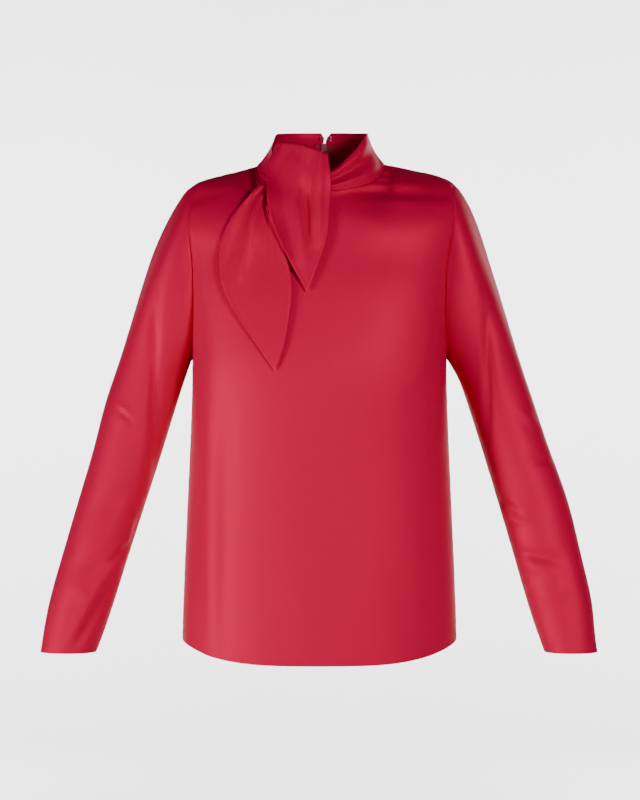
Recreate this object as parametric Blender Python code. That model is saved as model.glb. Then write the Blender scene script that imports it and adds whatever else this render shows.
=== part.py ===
# Tie neck blouse, long sleeved, filled out with no wearer.
# Metres, +Z up, the front faces -Y and the wearer's left is +X.
# The origin lies midway between the shoulders, at the height of the high shoulder points.

import math
from collections import namedtuple

import bmesh
import bpy
import numpy as np
from mathutils import Vector
from mathutils.bvhtree import BVHTree

# Driving sizes, in metres
CLOTH = 0.0012            # single satin, drawn as a wall
DOUBLE_CLOTH = 0.0020     # collar and tie ends are cut double
TAPE_CLOTH = 0.0010
SEAM_GAP = 0.0003
UNDERARM_Z = -0.243
NECK_SHARE = 0.36         # share of the half girth that ends in the neckline
ARMHOLE_FRONT_DEPTH = 0.235
ARMHOLE_BACK_DEPTH = 0.245
ARMHOLE_ROUNDNESS = 2.5
NECK_LEAN_FRONT = 0.25    # how much the body leans in as it meets the neck seam
NECK_LEAN_SIDE = 0.70
NECK_HALF_WIDTH = 0.0840
NECK_MID_Y = 0.004
NECK_FRONT_Y = -0.078
NECK_BACK_Y = 0.070
NECK_SIDE_Z = 0.009
NECK_FRONT_Z = -0.031
NECK_BACK_Z = -0.003
NECK_CURVE_FRONT = 0.8    # how the neck seam falls from its sides: below 1 it falls late, above 1 early
NECK_CURVE_BACK = 1.5
OVER_FROM = 0.25          # shares of the neck's width over which the panel turns to run over the shoulder
OVER_FADE = 1.45
OVER_RISE = 0.02
HEM_FLATNESS = 3.8        # how flat the hem's middle is before it rises to the side seams
SECTION_POINTS = 3001
SHOULDER_TILT = 0.018     # the wearer's left shoulder is a little higher and both stand to the left
SHOULDER_SHIFT = 0.0025
TILT_FROM_X = 0.040
TILT_FADE_X = 0.070
TILT_FROM_Z = -0.130
TILT_FADE_Z = 0.100
COLLAR_TOP_HALF_WIDTH = 0.0600
COLLAR_TOP_FRONT_Y = -0.066
COLLAR_TOP_BACK_Y = 0.052
COLLAR_TOP_SIDE_Z = 0.050
COLLAR_TOP_BACK_Z = 0.0565
COLLAR_SHIFT_X = 0.003    # the collar stands a little towards the wearer's left
COLLAR_WAIST = 0.0030     # how far the collar hollows in halfway up
BACK_FROM = 2.2           # angle round the neck, in radians, from which the back opening is felt
BACK_SHIFT_X = 0.009      # the opening's top is pulled towards the wearer's left
SLIT_HALF_WIDTH = 0.0015  # gap between the collar's ends where the slider passes through
SLIT_FROM = 0.50          # shares of the collar's height
SLIT_FULL = 0.62
NOTCH_HALF_WIDTH = 0.0060
NOTCH_FROM = 0.87

# Zip, its slider and pull tab, and the hook and eye above it
TAPE_WIDTH = 0.0100
TAPE_FROM_EDGE = 0.0012
TAPE_LENGTH_BELOW_NECK = 0.24
TAPE_COLLAR_SHARE = 0.80
TAPE_CLEARANCE = 0.0005
SLIDER_SHARE = 0.70       # how far up the collar the closed slider sits
PLATE_SIZE = (0.0070, 0.0016, 0.0100)
PLATE_DEPTH = -0.0052
STEM_SIZE = (0.0011, 0.0064, 0.0040)
STEM_BITE = 0.0004        # how far the stem runs into the plate
BRIDGE_SIZE = (0.0022, 0.0024, 0.0056)
PIVOT_OUT = 0.0022        # the pull tab's pin stands this far off the collar
PIN_HOLE_RADIUS = 0.00075
PIN_RADIUS = 0.0005
CHEEK_SIZE = (0.0010, 0.0016, 0.0068)
CHEEK_GAP = 0.00025
CHEEK_RISE = 0.0012       # how far the cheeks reach above the pin
TAB_THICKNESS = 0.0010
TAB_POINTS = 15
ROD_SIDES = 16
WIRE_RADIUS = 0.0004
WIRE_SIDES = 8
WIRE_CLEARANCE = 0.0003
CURL_RADIUS = 0.0009      # sewing loops at the foot of the hook and the eye
CURL_DROP = 0.0016
CURL_START = 100          # angles where the wire's sewing loops begin and end, in degrees
CURL_END = 360
SECOND_CURL_START = 180
SECOND_CURL_END = 440
CURL_POINTS = 9
LOOP_POINTS = 7

# Half widths of the pull tab, down from its pin
TabWidth = namedtuple("TabWidth", "down half_width")
TAB_OUTLINE = [
    TabWidth(0.0038, 0.0023), TabWidth(0.0080, 0.0017), TabWidth(0.0140, 0.0022),
    TabWidth(0.0190, 0.0031), TabWidth(0.0225, 0.0027), TabWidth(0.0245, 0.0012),
]

# The hook and the eye: loop size, and how far each foot is set back from its collar end
Wire = namedtuple("Wire", "loop_radius loop_length set_back")
HOOK = Wire(0.0007, 0.0030, 0.0034)
EYE = Wire(0.0011, 0.0014, 0.0042)

# Colours, as linear values
SATIN_RED = (0.52, 0.026, 0.051)
TAPE_RED = (0.36, 0.060, 0.075)
TRIM_METAL = (0.55, 0.50, 0.48)

# Grid counts
NECK_STEPS = 7
SHOULDER_STEPS = 5
HEM_STEPS = 10
HEM_GRADING = 1.4         # above 1, rows stand closer towards the underarm
ARMHOLE_STEPS = 14
CAP_STEPS = 6
SLEEVE_STEPS = 17
COLLAR_STEPS = 8
TIE_ACROSS = 12
TIE_ALONG = 18
FOLD_STEPS = 5

# Level sections of the body: half width and height at the side, depth and height at the middle
Level = namedtuple("Level", "name at side_x side_z front_y front_z back_y back_z squareness")
BODY_LEVELS = [
    Level("hem", 0.000, 0.1805, -0.616, -0.120, -0.641, 0.112, -0.645, 2.3),
    Level("hip", 0.085, 0.1780, -0.540, -0.120, -0.556, 0.112, -0.560, 2.3),
    Level("waist", 0.190, 0.1735, -0.435, -0.119, -0.445, 0.101, -0.447, 2.4),
    Level("ribs", 0.280, 0.1695, -0.345, -0.124, -0.350, 0.101, -0.350, 2.5),
    Level("bust", 0.360, 0.1672, -0.266, -0.130, -0.262, 0.105, -0.265, 2.7),
    Level("chest", 0.430, 0.1680, -0.198, -0.123, -0.198, 0.109, -0.198, 2.9),
    Level("armhole", 0.480, 0.1710, -0.150, -0.113, -0.150, 0.110, -0.150, 3.0),
    Level("upper_chest", 0.525, 0.1765, -0.106, -0.101, -0.106, 0.107, -0.105, 3.0),
    Level("yoke", 0.565, 0.1845, -0.068, -0.090, -0.066, 0.097, -0.060, 2.9),
]
SHOULDER_AT = 0.640

# The shoulder seam from the neck to the top of the sleeve
ShoulderPoint = namedtuple("ShoulderPoint", "x y z")
SHOULDER_SEAM = [
    ShoulderPoint(0.0840, 0.004, 0.009),
    ShoulderPoint(0.1150, 0.004, 0.001),
    ShoulderPoint(0.1450, 0.003, -0.006),
    ShoulderPoint(0.1650, 0.002, -0.013),
    ShoulderPoint(0.1785, 0.001, -0.024),
    ShoulderPoint(0.1860, 0.000, -0.037),
]

# Level sections of each sleeve, from below the armhole to the cuff
SleeveRing = namedtuple("SleeveRing", "z inner_x outer_x mid_y half_depth")
SLEEVES = {
    "sleeve_right": [
        SleeveRing(-0.262, 0.1735, 0.2683, 0.000, 0.0480),
        SleeveRing(-0.300, 0.1860, 0.2810, -0.001, 0.0470),
        SleeveRing(-0.354, 0.2026, 0.2950, -0.003, 0.0455),
        SleeveRing(-0.433, 0.2277, 0.3175, -0.008, 0.0430),
        SleeveRing(-0.512, 0.2528, 0.3400, -0.016, 0.0410),
        SleeveRing(-0.572, 0.2713, 0.3557, -0.023, 0.0385),
        SleeveRing(-0.611, 0.2845, 0.3623, -0.028, 0.0365),
        SleeveRing(-0.630, 0.2917, 0.3650, -0.031, 0.0350),
    ],
    "sleeve_left": [
        SleeveRing(-0.262, 0.1775, 0.2685, 0.000, 0.0480),
        SleeveRing(-0.300, 0.1932, 0.2812, -0.001, 0.0470),
        SleeveRing(-0.354, 0.2105, 0.2990, -0.003, 0.0455),
        SleeveRing(-0.433, 0.2343, 0.3267, -0.008, 0.0430),
        SleeveRing(-0.512, 0.2572, 0.3457, -0.016, 0.0410),
        SleeveRing(-0.572, 0.2745, 0.3580, -0.023, 0.0385),
        SleeveRing(-0.611, 0.2873, 0.3613, -0.028, 0.0365),
        SleeveRing(-0.630, 0.2940, 0.3637, -0.031, 0.0350),
    ],
}
SIDE_OF_SLEEVE = {"sleeve_right": -1, "sleeve_left": 1}

# How the sleeve leaves its armhole seam: its way at the underarm and at the shoulder
UNDERARM_WAY = (0.30, 0.0, -0.95)
SHOULDER_WAY = (0.74, 0.0, -0.66)
SLEEVE_FULLNESS = 0.30
SHOULDER_PULL = 0.45

# How much of its height the collar keeps round the neck: it dips in front, under the tie
CollarEdge = namedtuple("CollarEdge", "degrees share")
COLLAR_EDGE = [
    CollarEdge(-180, 1.00), CollarEdge(-95, 1.00), CollarEdge(-82, 0.88), CollarEdge(-68, 0.58),
    CollarEdge(-50, 0.44), CollarEdge(-25, 0.37), CollarEdge(0, 0.32), CollarEdge(12, 0.33), CollarEdge(24, 0.46),
    CollarEdge(40, 0.64), CollarEdge(60, 0.86), CollarEdge(90, 1.00), CollarEdge(180, 1.00),
]

# Soft rolls of the collar's front drape: height up the collar, width and rise
CollarRoll = namedtuple("CollarRoll", "share width rise")
COLLAR_ROLLS = [
    CollarRoll(0.84, 0.15, 0.0035), CollarRoll(0.54, 0.12, -0.0032), CollarRoll(0.25, 0.14, 0.0035),
]
DRAPE_FROM = -45.0        # degrees round the neck
DRAPE_TO = 85.0
DRAPE_FADE = 40.0

# The two tie ends, seen from the front: both edges and how far they stand off what they lie on
TieStation = namedtuple("TieStation", "at outer_x outer_z inner_x inner_z lift")
TIE_LOWER = [
    TieStation(0.00, -0.0378, -0.0317, -0.0378, -0.0535, 0.0030),
    TieStation(0.10, -0.0712, -0.0214, -0.0648, -0.0548, 0.0045),
    TieStation(0.22, -0.0930, -0.0342, -0.0585, -0.0740, 0.0055),
    TieStation(0.36, -0.1186, -0.0701, -0.0450, -0.1080, 0.0060),
    TieStation(0.50, -0.1289, -0.1176, -0.0360, -0.1500, 0.0055),
    TieStation(0.66, -0.1186, -0.1689, -0.0395, -0.1990, 0.0050),
    TieStation(0.82, -0.0891, -0.2170, -0.0455, -0.2330, 0.0045),
    TieStation(1.00, -0.0575, -0.2631, -0.0552, -0.2610, 0.0035),
]
TIE_UPPER = [
    TieStation(0.00, -0.0600, 0.0300, 0.0120, 0.0110, 0.0060),
    TieStation(0.12, -0.0680, 0.0080, 0.0148, -0.0100, 0.0060),
    TieStation(0.26, -0.0694, -0.0190, 0.0144, -0.0330, 0.0055),
    TieStation(0.42, -0.0665, -0.0550, 0.0126, -0.0600, 0.0050),
    TieStation(0.60, -0.0513, -0.0965, 0.0092, -0.0930, 0.0050),
    TieStation(0.80, -0.0318, -0.1350, -0.0030, -0.1300, 0.0045),
    TieStation(1.00, -0.0172, -0.1620, -0.0148, -0.1610, 0.0035),
]
TIE_TOP_CROWN = 0.0050
TIE_LOOP_RADIUS = 0.0065
TIE_LOOP_HEIGHT = 0.9     # the fold's height as a share of its radius
TUCK_SIDE_SHARE = 0.8
LEAST_SLANT = 0.5
EVEN_ROUNDS = 2           # rounds of evening out, and passes that bridge hollows under a tie end
BRIDGE_PASSES = 3
BRIDGE_ROUNDS = 4
TIE_TUCK = 0.026
TIE_TUCK_STEPS = (0.35, 0.70, 1.00)
TIE_TUCK_OUT = 0.0015     # how far the tucked end swings back out
TIE_CLEARANCE = 0.0036
TIE_ROOT_CLEARANCE = 0.0028   # the root is sewn down, so it lies close
TIE_RISE_SHARE = 0.10     # share of a tie end's length over which it rises to its full clearance
FEELER = 0.0035           # how far round each point the tie end feels for what it lies on
COLLAR_LEAN = 0.30        # how fast the collar's front leans in with height
CREASE_END_SHARE = 0.35   # a crease's strength at its ends
PAIR_SHARE = 0.5          # each piece's share of the seam gap, where two meet or more
CORNER_SHARE = 0.75
SAME_FACING = 0.80        # cosine between normals that count as one
SEAM_CELLS = 2e4          # seam points closer than 1 / SEAM_CELLS metres are one point
SEAM_CELL_SHIFT = 0.37    # keeps points on a round number from falling on the border of two cells
LEAST_FACING = 0.5        # least cosine used where a wall is slanted against its seam

# Pleats of the tie ends, across from the outer edge (0) to the inner edge (1)
Pleat = namedtuple("Pleat", "start_across end_across width rise last")
PLEATS_LOWER = [
    Pleat(0.06, 0.04, 0.10, 0.0020, 0.55),
    Pleat(0.22, 0.18, 0.09, -0.0032, 0.60),
    Pleat(0.42, 0.34, 0.11, 0.0035, 0.75),
    Pleat(0.66, 0.62, 0.14, -0.0030, 0.70),
]
PLEATS_UPPER = [
    Pleat(0.10, 0.15, 0.12, 0.0015, 0.60),
    Pleat(0.45, 0.52, 0.12, -0.0030, 0.60),
    Pleat(0.62, 0.66, 0.08, -0.0040, 0.85),
    Pleat(0.86, 0.86, 0.10, 0.0025, 0.90),
]

# Main creases: ends of each one on the front of the blouse, its width and rise
Crease = namedtuple("Crease", "x0 y0 z0 x1 y1 z1 width rise")
BODY_CREASES = [
    Crease(-0.100, -0.050, -0.020, -0.150, -0.035, -0.028, 0.0090, 0.0015),
    Crease(-0.150, -0.100, -0.190, -0.135, -0.118, -0.330, 0.0160, 0.0020),
    Crease(0.150, -0.098, -0.190, 0.140, -0.112, -0.300, 0.0140, 0.0018),
]
SLEEVE_CREASES = [
    Crease(0.2160, -0.046, -0.160, 0.2200, -0.047, -0.320, 0.0140, -0.0025),
    Crease(0.2450, -0.052, -0.420, 0.2900, -0.054, -0.445, 0.0120, -0.0022),
    Crease(0.2680, -0.057, -0.500, 0.3150, -0.056, -0.520, 0.0120, -0.0022),
    Crease(0.2800, -0.060, -0.560, 0.3220, -0.062, -0.545, 0.0100, 0.0018),
    Crease(0.2700, 0.040, -0.400, 0.2950, 0.034, -0.430, 0.0140, -0.0025),
]


def spline(knots, values, at, start=None, end=None):
    """Smooth cubic curve through values at knots, with the slopes start and end where given."""
    knots = np.asarray(knots, float)
    values = np.asarray(values, float)
    last = len(knots) - 1
    step = np.diff(knots)
    rise = np.diff(values, axis=0) / step.reshape((-1,) + (1,) * (values.ndim - 1))
    system = np.zeros((last + 1, last + 1))
    right = np.zeros_like(values)
    for i in range(1, last):
        system[i, i - 1:i + 2] = step[i - 1], 2 * (step[i - 1] + step[i]), step[i]
        right[i] = 6 * (rise[i] - rise[i - 1])
    system[0, 0] = system[last, last] = 1.0
    if start is not None:
        system[0, :2] = 2 * step[0], step[0]
        right[0] = 6 * (rise[0] - start)
    if end is not None:
        system[last, last - 1:] = step[-1], 2 * step[-1]
        right[last] = 6 * (end - rise[-1])
    bend = np.linalg.solve(system, right.reshape(last + 1, -1)).reshape(values.shape)
    at = np.atleast_1d(np.asarray(at, float))
    i = np.clip(np.searchsorted(knots, at, side="right") - 1, 0, last - 1)
    shape = (-1,) + (1,) * (values.ndim - 1)
    before = (knots[i + 1] - at).reshape(shape)
    after = (at - knots[i]).reshape(shape)
    width = step[i].reshape(shape)
    curved = (bend[i] * before ** 3 + bend[i + 1] * after ** 3) / (6 * width)
    straight = (values[i] / width - bend[i] * width / 6) * before
    return curved + straight + (values[i + 1] / width - bend[i + 1] * width / 6) * after


def unit(vectors):
    length = np.linalg.norm(vectors, axis=-1, keepdims=True)
    return vectors / np.maximum(length, 1e-12)


def smooth_step(value):
    value = np.clip(value, 0.0, 1.0)
    return value * value * (3 - 2 * value)


def along(points):
    """Distance along a row of points."""
    return np.concatenate([[0.0], np.cumsum(np.linalg.norm(np.diff(points, axis=0), axis=1))])


def level_section(level, shares, back):
    """Points of a quarter section, at shares of its length from the middle to the side."""
    turn = np.linspace(0, math.pi / 2, SECTION_POINTS)
    across = np.sin(turn)
    depth = (1 - across ** level.squareness) ** (1 / level.squareness)
    mid_y, mid_z = (level.back_y, level.back_z) if back else (level.front_y, level.front_z)
    drop = across ** HEM_FLATNESS
    points = np.stack([level.side_x * across, mid_y * depth,
                       mid_z + (level.side_z - mid_z) * drop], axis=1)
    length = along(points)
    return np.stack([np.interp(shares, length / length[-1], points[:, k]) for k in range(3)], axis=1)


def neckline(turn):
    """Points of the neck seam at angles from the middle of the front (0) to that of the back (pi)."""
    turn = np.asarray(turn, float)
    cosine = np.cos(turn)
    front = cosine > 0
    y = NECK_MID_Y + np.where(front, NECK_FRONT_Y - NECK_MID_Y, NECK_MID_Y - NECK_BACK_Y) * cosine
    fall = np.where(front, NECK_FRONT_Z - NECK_SIDE_Z, NECK_BACK_Z - NECK_SIDE_Z)
    z = NECK_SIDE_Z + fall * np.abs(cosine) ** np.where(front, NECK_CURVE_FRONT, NECK_CURVE_BACK)
    return np.stack([NECK_HALF_WIDTH * np.sin(turn), y, z], axis=-1)


def top_edge(shares, back):
    """Neckline and then shoulder seam, at shares of the half panel's width."""
    turn = math.pi / 2 * np.clip(shares / NECK_SHARE, 0, 1)
    neck = neckline(math.pi - turn if back else turn)
    seam = np.array(SHOULDER_SEAM)
    length = along(seam)
    part = np.clip((shares - NECK_SHARE) / (1 - NECK_SHARE), 0, 1)
    shoulder = spline(length, seam, part * length[-1])
    return np.where((shares <= NECK_SHARE)[:, None], neck, shoulder)


def underarm_at():
    heights = [level.side_z for level in BODY_LEVELS]
    return float(np.interp(UNDERARM_Z, heights, [level.at for level in BODY_LEVELS]))


def row_shares(at, back, fineness):
    """Where the columns of a row stand, from the middle (0) to the side (1), cut in beside the armhole."""
    place = np.clip((at - underarm_at()) / (SHOULDER_AT - underarm_at()), 0, 1)
    bite = np.sqrt(1 - np.abs(2 * place - 1) ** ARMHOLE_ROUNDNESS)
    depth = ARMHOLE_BACK_DEPTH if back else ARMHOLE_FRONT_DEPTH
    shares = panel_columns(fineness)
    return shares - depth * bite * shares ** 2


def panel_rows(fineness):
    """Heights of a panel's rows, from the hem to the shoulder."""
    left = np.linspace(1, 0, HEM_STEPS * fineness + 1)
    low = underarm_at() * (1 - left ** HEM_GRADING)
    turn = np.linspace(0, math.pi, ARMHOLE_STEPS * fineness + 1)[1:]
    high = underarm_at() + (SHOULDER_AT - underarm_at()) * (1 - np.cos(turn)) / 2
    return np.concatenate([low, high])


def panel_columns(fineness):
    neck = np.linspace(0, NECK_SHARE, NECK_STEPS * fineness + 1)
    shoulder = np.linspace(NECK_SHARE, 1, SHOULDER_STEPS * fineness + 1)[1:]
    return np.concatenate([neck, shoulder])


def half_panel(back, fineness):
    """Half of the front or back, [row, column], from the middle to the wearer's left."""
    knots = [level.at for level in BODY_LEVELS] + [SHOULDER_AT]
    rows = []
    for at in panel_rows(fineness):
        shares = row_shares(at, back, fineness)
        sections = [level_section(level, shares, back) for level in BODY_LEVELS]
        top = top_edge(shares, back)
        to_seam = -1.0 if back else 1.0
        turn = math.pi / 2 * np.clip(shares / NECK_SHARE, 0, 1)
        inward = NECK_LEAN_FRONT + (NECK_LEAN_SIDE - NECK_LEAN_FRONT) * np.sin(turn) ** 2
        to_neck = np.stack([-np.sin(turn) * inward, to_seam * np.cos(turn) * inward,
                            np.sqrt(1 - inward ** 2)], axis=1)
        over = np.array([0.0, to_seam, OVER_RISE])
        lean = smooth_step((shares / NECK_SHARE - OVER_FROM) / OVER_FADE)[:, None]
        last_step = np.linalg.norm(top - sections[-1], axis=1, keepdims=True) / (knots[-1] - knots[-2])
        end = unit(to_neck * (1 - lean) + over * lean) * last_step
        rows.append(spline(knots, np.stack(sections + [top]), [at], end=end)[0])
    return np.stack(rows)


def mirrored(points):
    return points * np.array([-1.0, 1.0, 1.0])


def tilted(points):
    """The same points with the shoulders tilted and shifted as the blouse hangs."""
    aside = smooth_step((np.abs(points[..., 0]) - TILT_FROM_X) / TILT_FADE_X)
    share = aside * smooth_step((points[..., 2] - TILT_FROM_Z) / TILT_FADE_Z)
    moved = points.copy()
    moved[..., 0] += SHOULDER_SHIFT * share
    moved[..., 2] += SHOULDER_TILT * points[..., 0] * share
    return moved


def sleeve(name, front, back, fineness):
    """Rings of one sleeve, [row, column], from the armhole to the cuff."""
    side = SIDE_OF_SLEEVE[name]
    first = HEM_STEPS * fineness
    forward = front[first:, -1]
    rearward = back[first:, -1]
    ring = np.concatenate([forward, rearward[-2:0:-1]])
    half = len(forward) - 1
    share_front = along(forward) / along(forward)[-1]
    share_back = along(rearward) / along(rearward)[-1]
    turn = math.pi * np.concatenate([share_front, 2 - share_back[-2:0:-1]])
    stations = [ring]
    for level in SLEEVES[name]:
        mid_x = (level.inner_x + level.outer_x) / 2
        half_x = (level.outer_x - level.inner_x) / 2
        stations.append(np.stack([mid_x - half_x * np.cos(turn), level.mid_y - level.half_depth * np.sin(turn),
                                  np.full(len(turn), level.z)], axis=1))
    stations = np.stack(stations)
    outer = ((1 - np.cos(turn)) / 2)[:, None]
    start = np.array(UNDERARM_WAY) * (1 - outer) + np.array(SHOULDER_WAY) * outer
    start[:, 1] -= SLEEVE_FULLNESS * np.sin(turn)
    start = unit(start) * (1 - (1 - SHOULDER_PULL) * outer)
    grid = []
    for k in range(2 * half):
        length = along(stations[:, k])
        cap = np.linspace(0, length[1], CAP_STEPS * fineness + 1)
        share = np.linspace(0, 1, SLEEVE_STEPS * fineness + 1)[1:]
        heights = stations[1:, k, 2]
        below = np.interp(heights[0] + (heights[-1] - heights[0]) * share, heights[::-1], length[1:][::-1])
        grid.append(spline(length, stations[:, k], np.concatenate([cap, below]), start=start[k]))
    grid = np.stack(grid, axis=1)
    return grid if side > 0 else mirrored(grid)


def back_opening(height):
    """Half the gap between the collar's two ends, at a share of its full height."""
    slit = SLIT_HALF_WIDTH * smooth_step((height - SLIT_FROM) / (SLIT_FULL - SLIT_FROM))
    notch = (NOTCH_HALF_WIDTH - SLIT_HALF_WIDTH) * smooth_step((height - NOTCH_FROM) / (1 - NOTCH_FROM))
    return slit + notch


def collar_shape(up, window):
    """How far the collar stands out from a straight wall, a share up it: hollow, or rolled in the drape."""
    rolls = sum(roll.rise * np.exp(-((up - roll.share) / roll.width) ** 2) for roll in COLLAR_ROLLS)
    rolls = rolls * smooth_step(up / COLLAR_ROLLS[-1].width)
    return rolls * window - COLLAR_WAIST * np.sin(math.pi * up) * (1 - window)


def collar(fineness):
    """The band round the neck, [row, column], from the neck seam up and round from back to back."""
    quarter = np.linspace(0, math.pi / 2, NECK_STEPS * fineness + 1)
    half = np.concatenate([quarter, math.pi - quarter[-2::-1]])
    turn = np.concatenate([-half[:0:-1], half])
    degrees = np.degrees(turn)
    side = np.sign(turn)
    base = neckline(np.abs(turn))
    base[turn < 0] = mirrored(base[turn < 0])
    cosine = np.cos(turn)
    top = np.stack([
        COLLAR_TOP_HALF_WIDTH * np.sin(turn) + COLLAR_SHIFT_X * np.sin(np.abs(turn)),
        (COLLAR_TOP_FRONT_Y * (1 + cosine) + COLLAR_TOP_BACK_Y * (1 - cosine)) / 2,
        COLLAR_TOP_SIDE_Z + (COLLAR_TOP_BACK_Z - COLLAR_TOP_SIDE_Z) * np.clip(-cosine, 0, 1)], axis=1)
    backness = smooth_step((np.abs(turn) - BACK_FROM) / (math.pi - BACK_FROM))
    edge = np.array(COLLAR_EDGE)
    share = spline(np.radians(edge[:, 0]), edge[:, 1:], turn, start=np.zeros(1), end=np.zeros(1))[:, 0]
    share = np.minimum(share, 1.0)
    window = smooth_step((degrees - DRAPE_FROM) / DRAPE_FADE) * smooth_step((DRAPE_TO - degrees) / DRAPE_FADE)
    rows = []
    for up in np.linspace(0, 1, COLLAR_STEPS * fineness + 1):
        height = up * share
        point = base + (top - base) * height[:, None]
        point[:, 0] += backness * (BACK_SHIFT_X * height + side * back_opening(height))
        outward = unit(np.stack([point[:, 0], point[:, 1] - NECK_MID_Y, 0 * turn], axis=1))
        rows.append(point + outward * collar_shape(up, window)[:, None])
    return np.stack(rows)


def surface_tree(grids):
    """A search tree over the outer points of several grids."""
    corners = []
    faces = []
    for grid in grids:
        start = len(corners)
        rows, columns = grid.shape[:2]
        corners += [Vector(point) for point in grid.reshape(-1, 3)]
        for i in range(rows - 1):
            for j in range(columns - 1):
                a = start + i * columns + j
                faces.append((a, a + 1, a + columns + 1, a + columns))
    return BVHTree.FromPolygons(corners, faces)


def blurred(values, rounds):
    """Evens out a grid of numbers, its edges too."""
    for _ in range(rounds):
        padded = np.pad(values, 1, mode="reflect", reflect_type="odd")
        values = (padded[:-2, 1:-1] + padded[2:, 1:-1] + padded[1:-1, :-2] + padded[1:-1, 2:]
                  + 4 * padded[1:-1, 1:-1]) / 8
    return values


def tie_end(stations, pleats, tree, crown, seated):
    """A tie end, [row, column], laid on what the tree holds, from its root to its tip."""
    table = np.array(stations)
    along_rows = np.linspace(0, 1, TIE_ALONG + 1)
    edges = spline(table[:, 0], table[:, 1:], along_rows)
    across = np.linspace(0, 1, TIE_ACROSS + 1)
    x = edges[:, None, 0] * (1 - across) + edges[:, None, 2] * across
    z = edges[:, None, 1] * (1 - across) + edges[:, None, 3] * across
    z = z + crown * (1 - along_rows[:, None]) ** 3 * np.sin(math.pi * across)
    depth = np.full_like(x, np.nan)
    straight = np.zeros_like(x)
    slant = np.ones_like(x)
    for i in range(x.shape[0] - 1, -1, -1):
        for j in range(x.shape[1]):
            for dx, dz in ((0, 0), (FEELER, 0), (-FEELER, 0), (0, FEELER), (0, -FEELER)):
                ray = Vector((x[i, j] + dx, -1.0, z[i, j] + dz))
                hit = tree.ray_cast(ray, Vector((0.0, 1.0, 0.0)))
                if hit[0] is not None and hit[0].y < NECK_MID_Y:
                    depth[i, j] = np.fmin(depth[i, j], hit[0].y)
                    if dx == dz:
                        straight[i, j] = hit[0].y
                        slant[i, j] = abs(hit[1].y)
            if np.isnan(depth[i, j]):
                depth[i, j] = depth[i + 1, j] + COLLAR_LEAN * (z[i, j] - z[i + 1, j])
                slant[i, j] = slant[i + 1, j]
    slant = np.clip(blurred(slant, EVEN_ROUNDS), LEAST_SLANT, 1.0)
    smooth = depth
    for _ in range(BRIDGE_PASSES):
        smooth = np.minimum(blurred(smooth, BRIDGE_ROUNDS), depth)
    risen = smooth_step(along_rows[:, None] / TIE_RISE_SHARE)
    y = blurred(smooth, EVEN_ROUNDS) - edges[:, None, 4] / slant
    for pleat in pleats:
        middle = pleat.start_across + (pleat.end_across - pleat.start_across) * along_rows[:, None]
        fade = smooth_step((pleat.last - along_rows[:, None]) / pleat.last)
        y = y - pleat.rise * fade * np.exp(-((across - middle) / pleat.width) ** 2)
    y = np.minimum(y, depth - TIE_CLEARANCE / slant)
    if seated:
        y = y * risen + (straight - TIE_ROOT_CLEARANCE / slant) * (1 - risen)
    return np.stack([x, y, z], axis=-1)


def tucked_over(grid):
    """Rows that carry the tie end's top over its fold and down inside the neck."""
    top = grid[0]
    inward = -unit(np.stack([top[:, 0] * TUCK_SIDE_SHARE, top[:, 1] - NECK_MID_Y, 0 * top[:, 0]], axis=1))
    rows = []
    for turn in np.linspace(0, math.pi, FOLD_STEPS + 1)[1:]:
        over = TIE_LOOP_RADIUS * (1 - math.cos(turn))
        up = TIE_LOOP_RADIUS * math.sin(turn) * TIE_LOOP_HEIGHT
        rows.append(top + inward * over + np.array([0, 0, up]))
    for drop in TIE_TUCK_STEPS:
        rows.append(rows[FOLD_STEPS - 1] + np.array([0, 0, -TIE_TUCK * drop]) - inward * TIE_TUCK_OUT * drop)
    return np.concatenate([np.stack(rows[::-1]), grid])


def creased(grid, facing, creases, closed):
    """Moves a grid's points along its normals into soft ridges and troughs, but not those on a seam."""
    points = grid.copy()
    free = np.ones(grid.shape[:2])
    free[0] = free[-1] = 0
    if not closed:
        free[:, 0] = free[:, -1] = 0
    for crease in creases:
        start = np.array([crease.x0, crease.y0, crease.z0])
        run = np.array([crease.x1, crease.y1, crease.z1]) - start
        share = np.clip(((grid - start) @ run) / (run @ run), 0, 1)
        far = np.linalg.norm(grid - start - share[..., None] * run, axis=-1)
        taper = CREASE_END_SHARE + (1 - CREASE_END_SHARE) * np.sin(math.pi * share)
        points += facing * (free * crease.rise * taper * np.exp(-(far / crease.width) ** 2))[..., None]
    return points


def normals_of(grid, closed, sign):
    rows = np.gradient(grid, axis=0)
    if closed:
        columns = (np.roll(grid, -1, axis=1) - np.roll(grid, 1, axis=1)) / 2
    else:
        columns = np.gradient(grid, axis=1)
    return sign * unit(np.cross(columns, rows))


Piece = namedtuple("Piece", "grid closed sign cloth color")


def inward_way(grid, i, j, closed):
    """The way from a border point into its piece, square to the border, or None inside the piece."""
    rows, columns = grid.shape[:2]
    ways = []
    for step, on_border in ((1, i == 0), (-1, i == rows - 1)):
        if on_border:
            low, high = (j - 1, (j + 1) % columns) if closed else (max(j - 1, 0), min(j + 1, columns - 1))
            ways.append((grid[i + step, j] - grid[i, j], grid[i, high] - grid[i, low]))
    for step, on_border in ((1, j == 0), (-1, j == columns - 1)):
        if on_border and not closed:
            low, high = max(i - 1, 0), min(i + 1, rows - 1)
            ways.append((grid[i, j + step] - grid[i, j], grid[high, j] - grid[low, j]))
    if not ways:
        return None
    return unit(sum(unit(way - border * (way @ border) / (border @ border)) for way, border in ways))


def meeting_points(pieces):
    """For each seam point, the normals and inward ways of the pieces that meet there."""
    seams = {}
    for name, piece in pieces.items():
        facing = normals_of(piece.grid, piece.closed, piece.sign)
        rows, columns = piece.grid.shape[:2]
        for i in range(rows):
            for j in range(columns):
                inward = inward_way(piece.grid, i, j, piece.closed)
                if inward is not None:
                    key = tuple(np.floor(piece.grid[i, j] * SEAM_CELLS + SEAM_CELL_SHIFT).astype(int))
                    seams.setdefault(key, []).append((name, i, j, facing[i, j], inward))
    return seams


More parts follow.
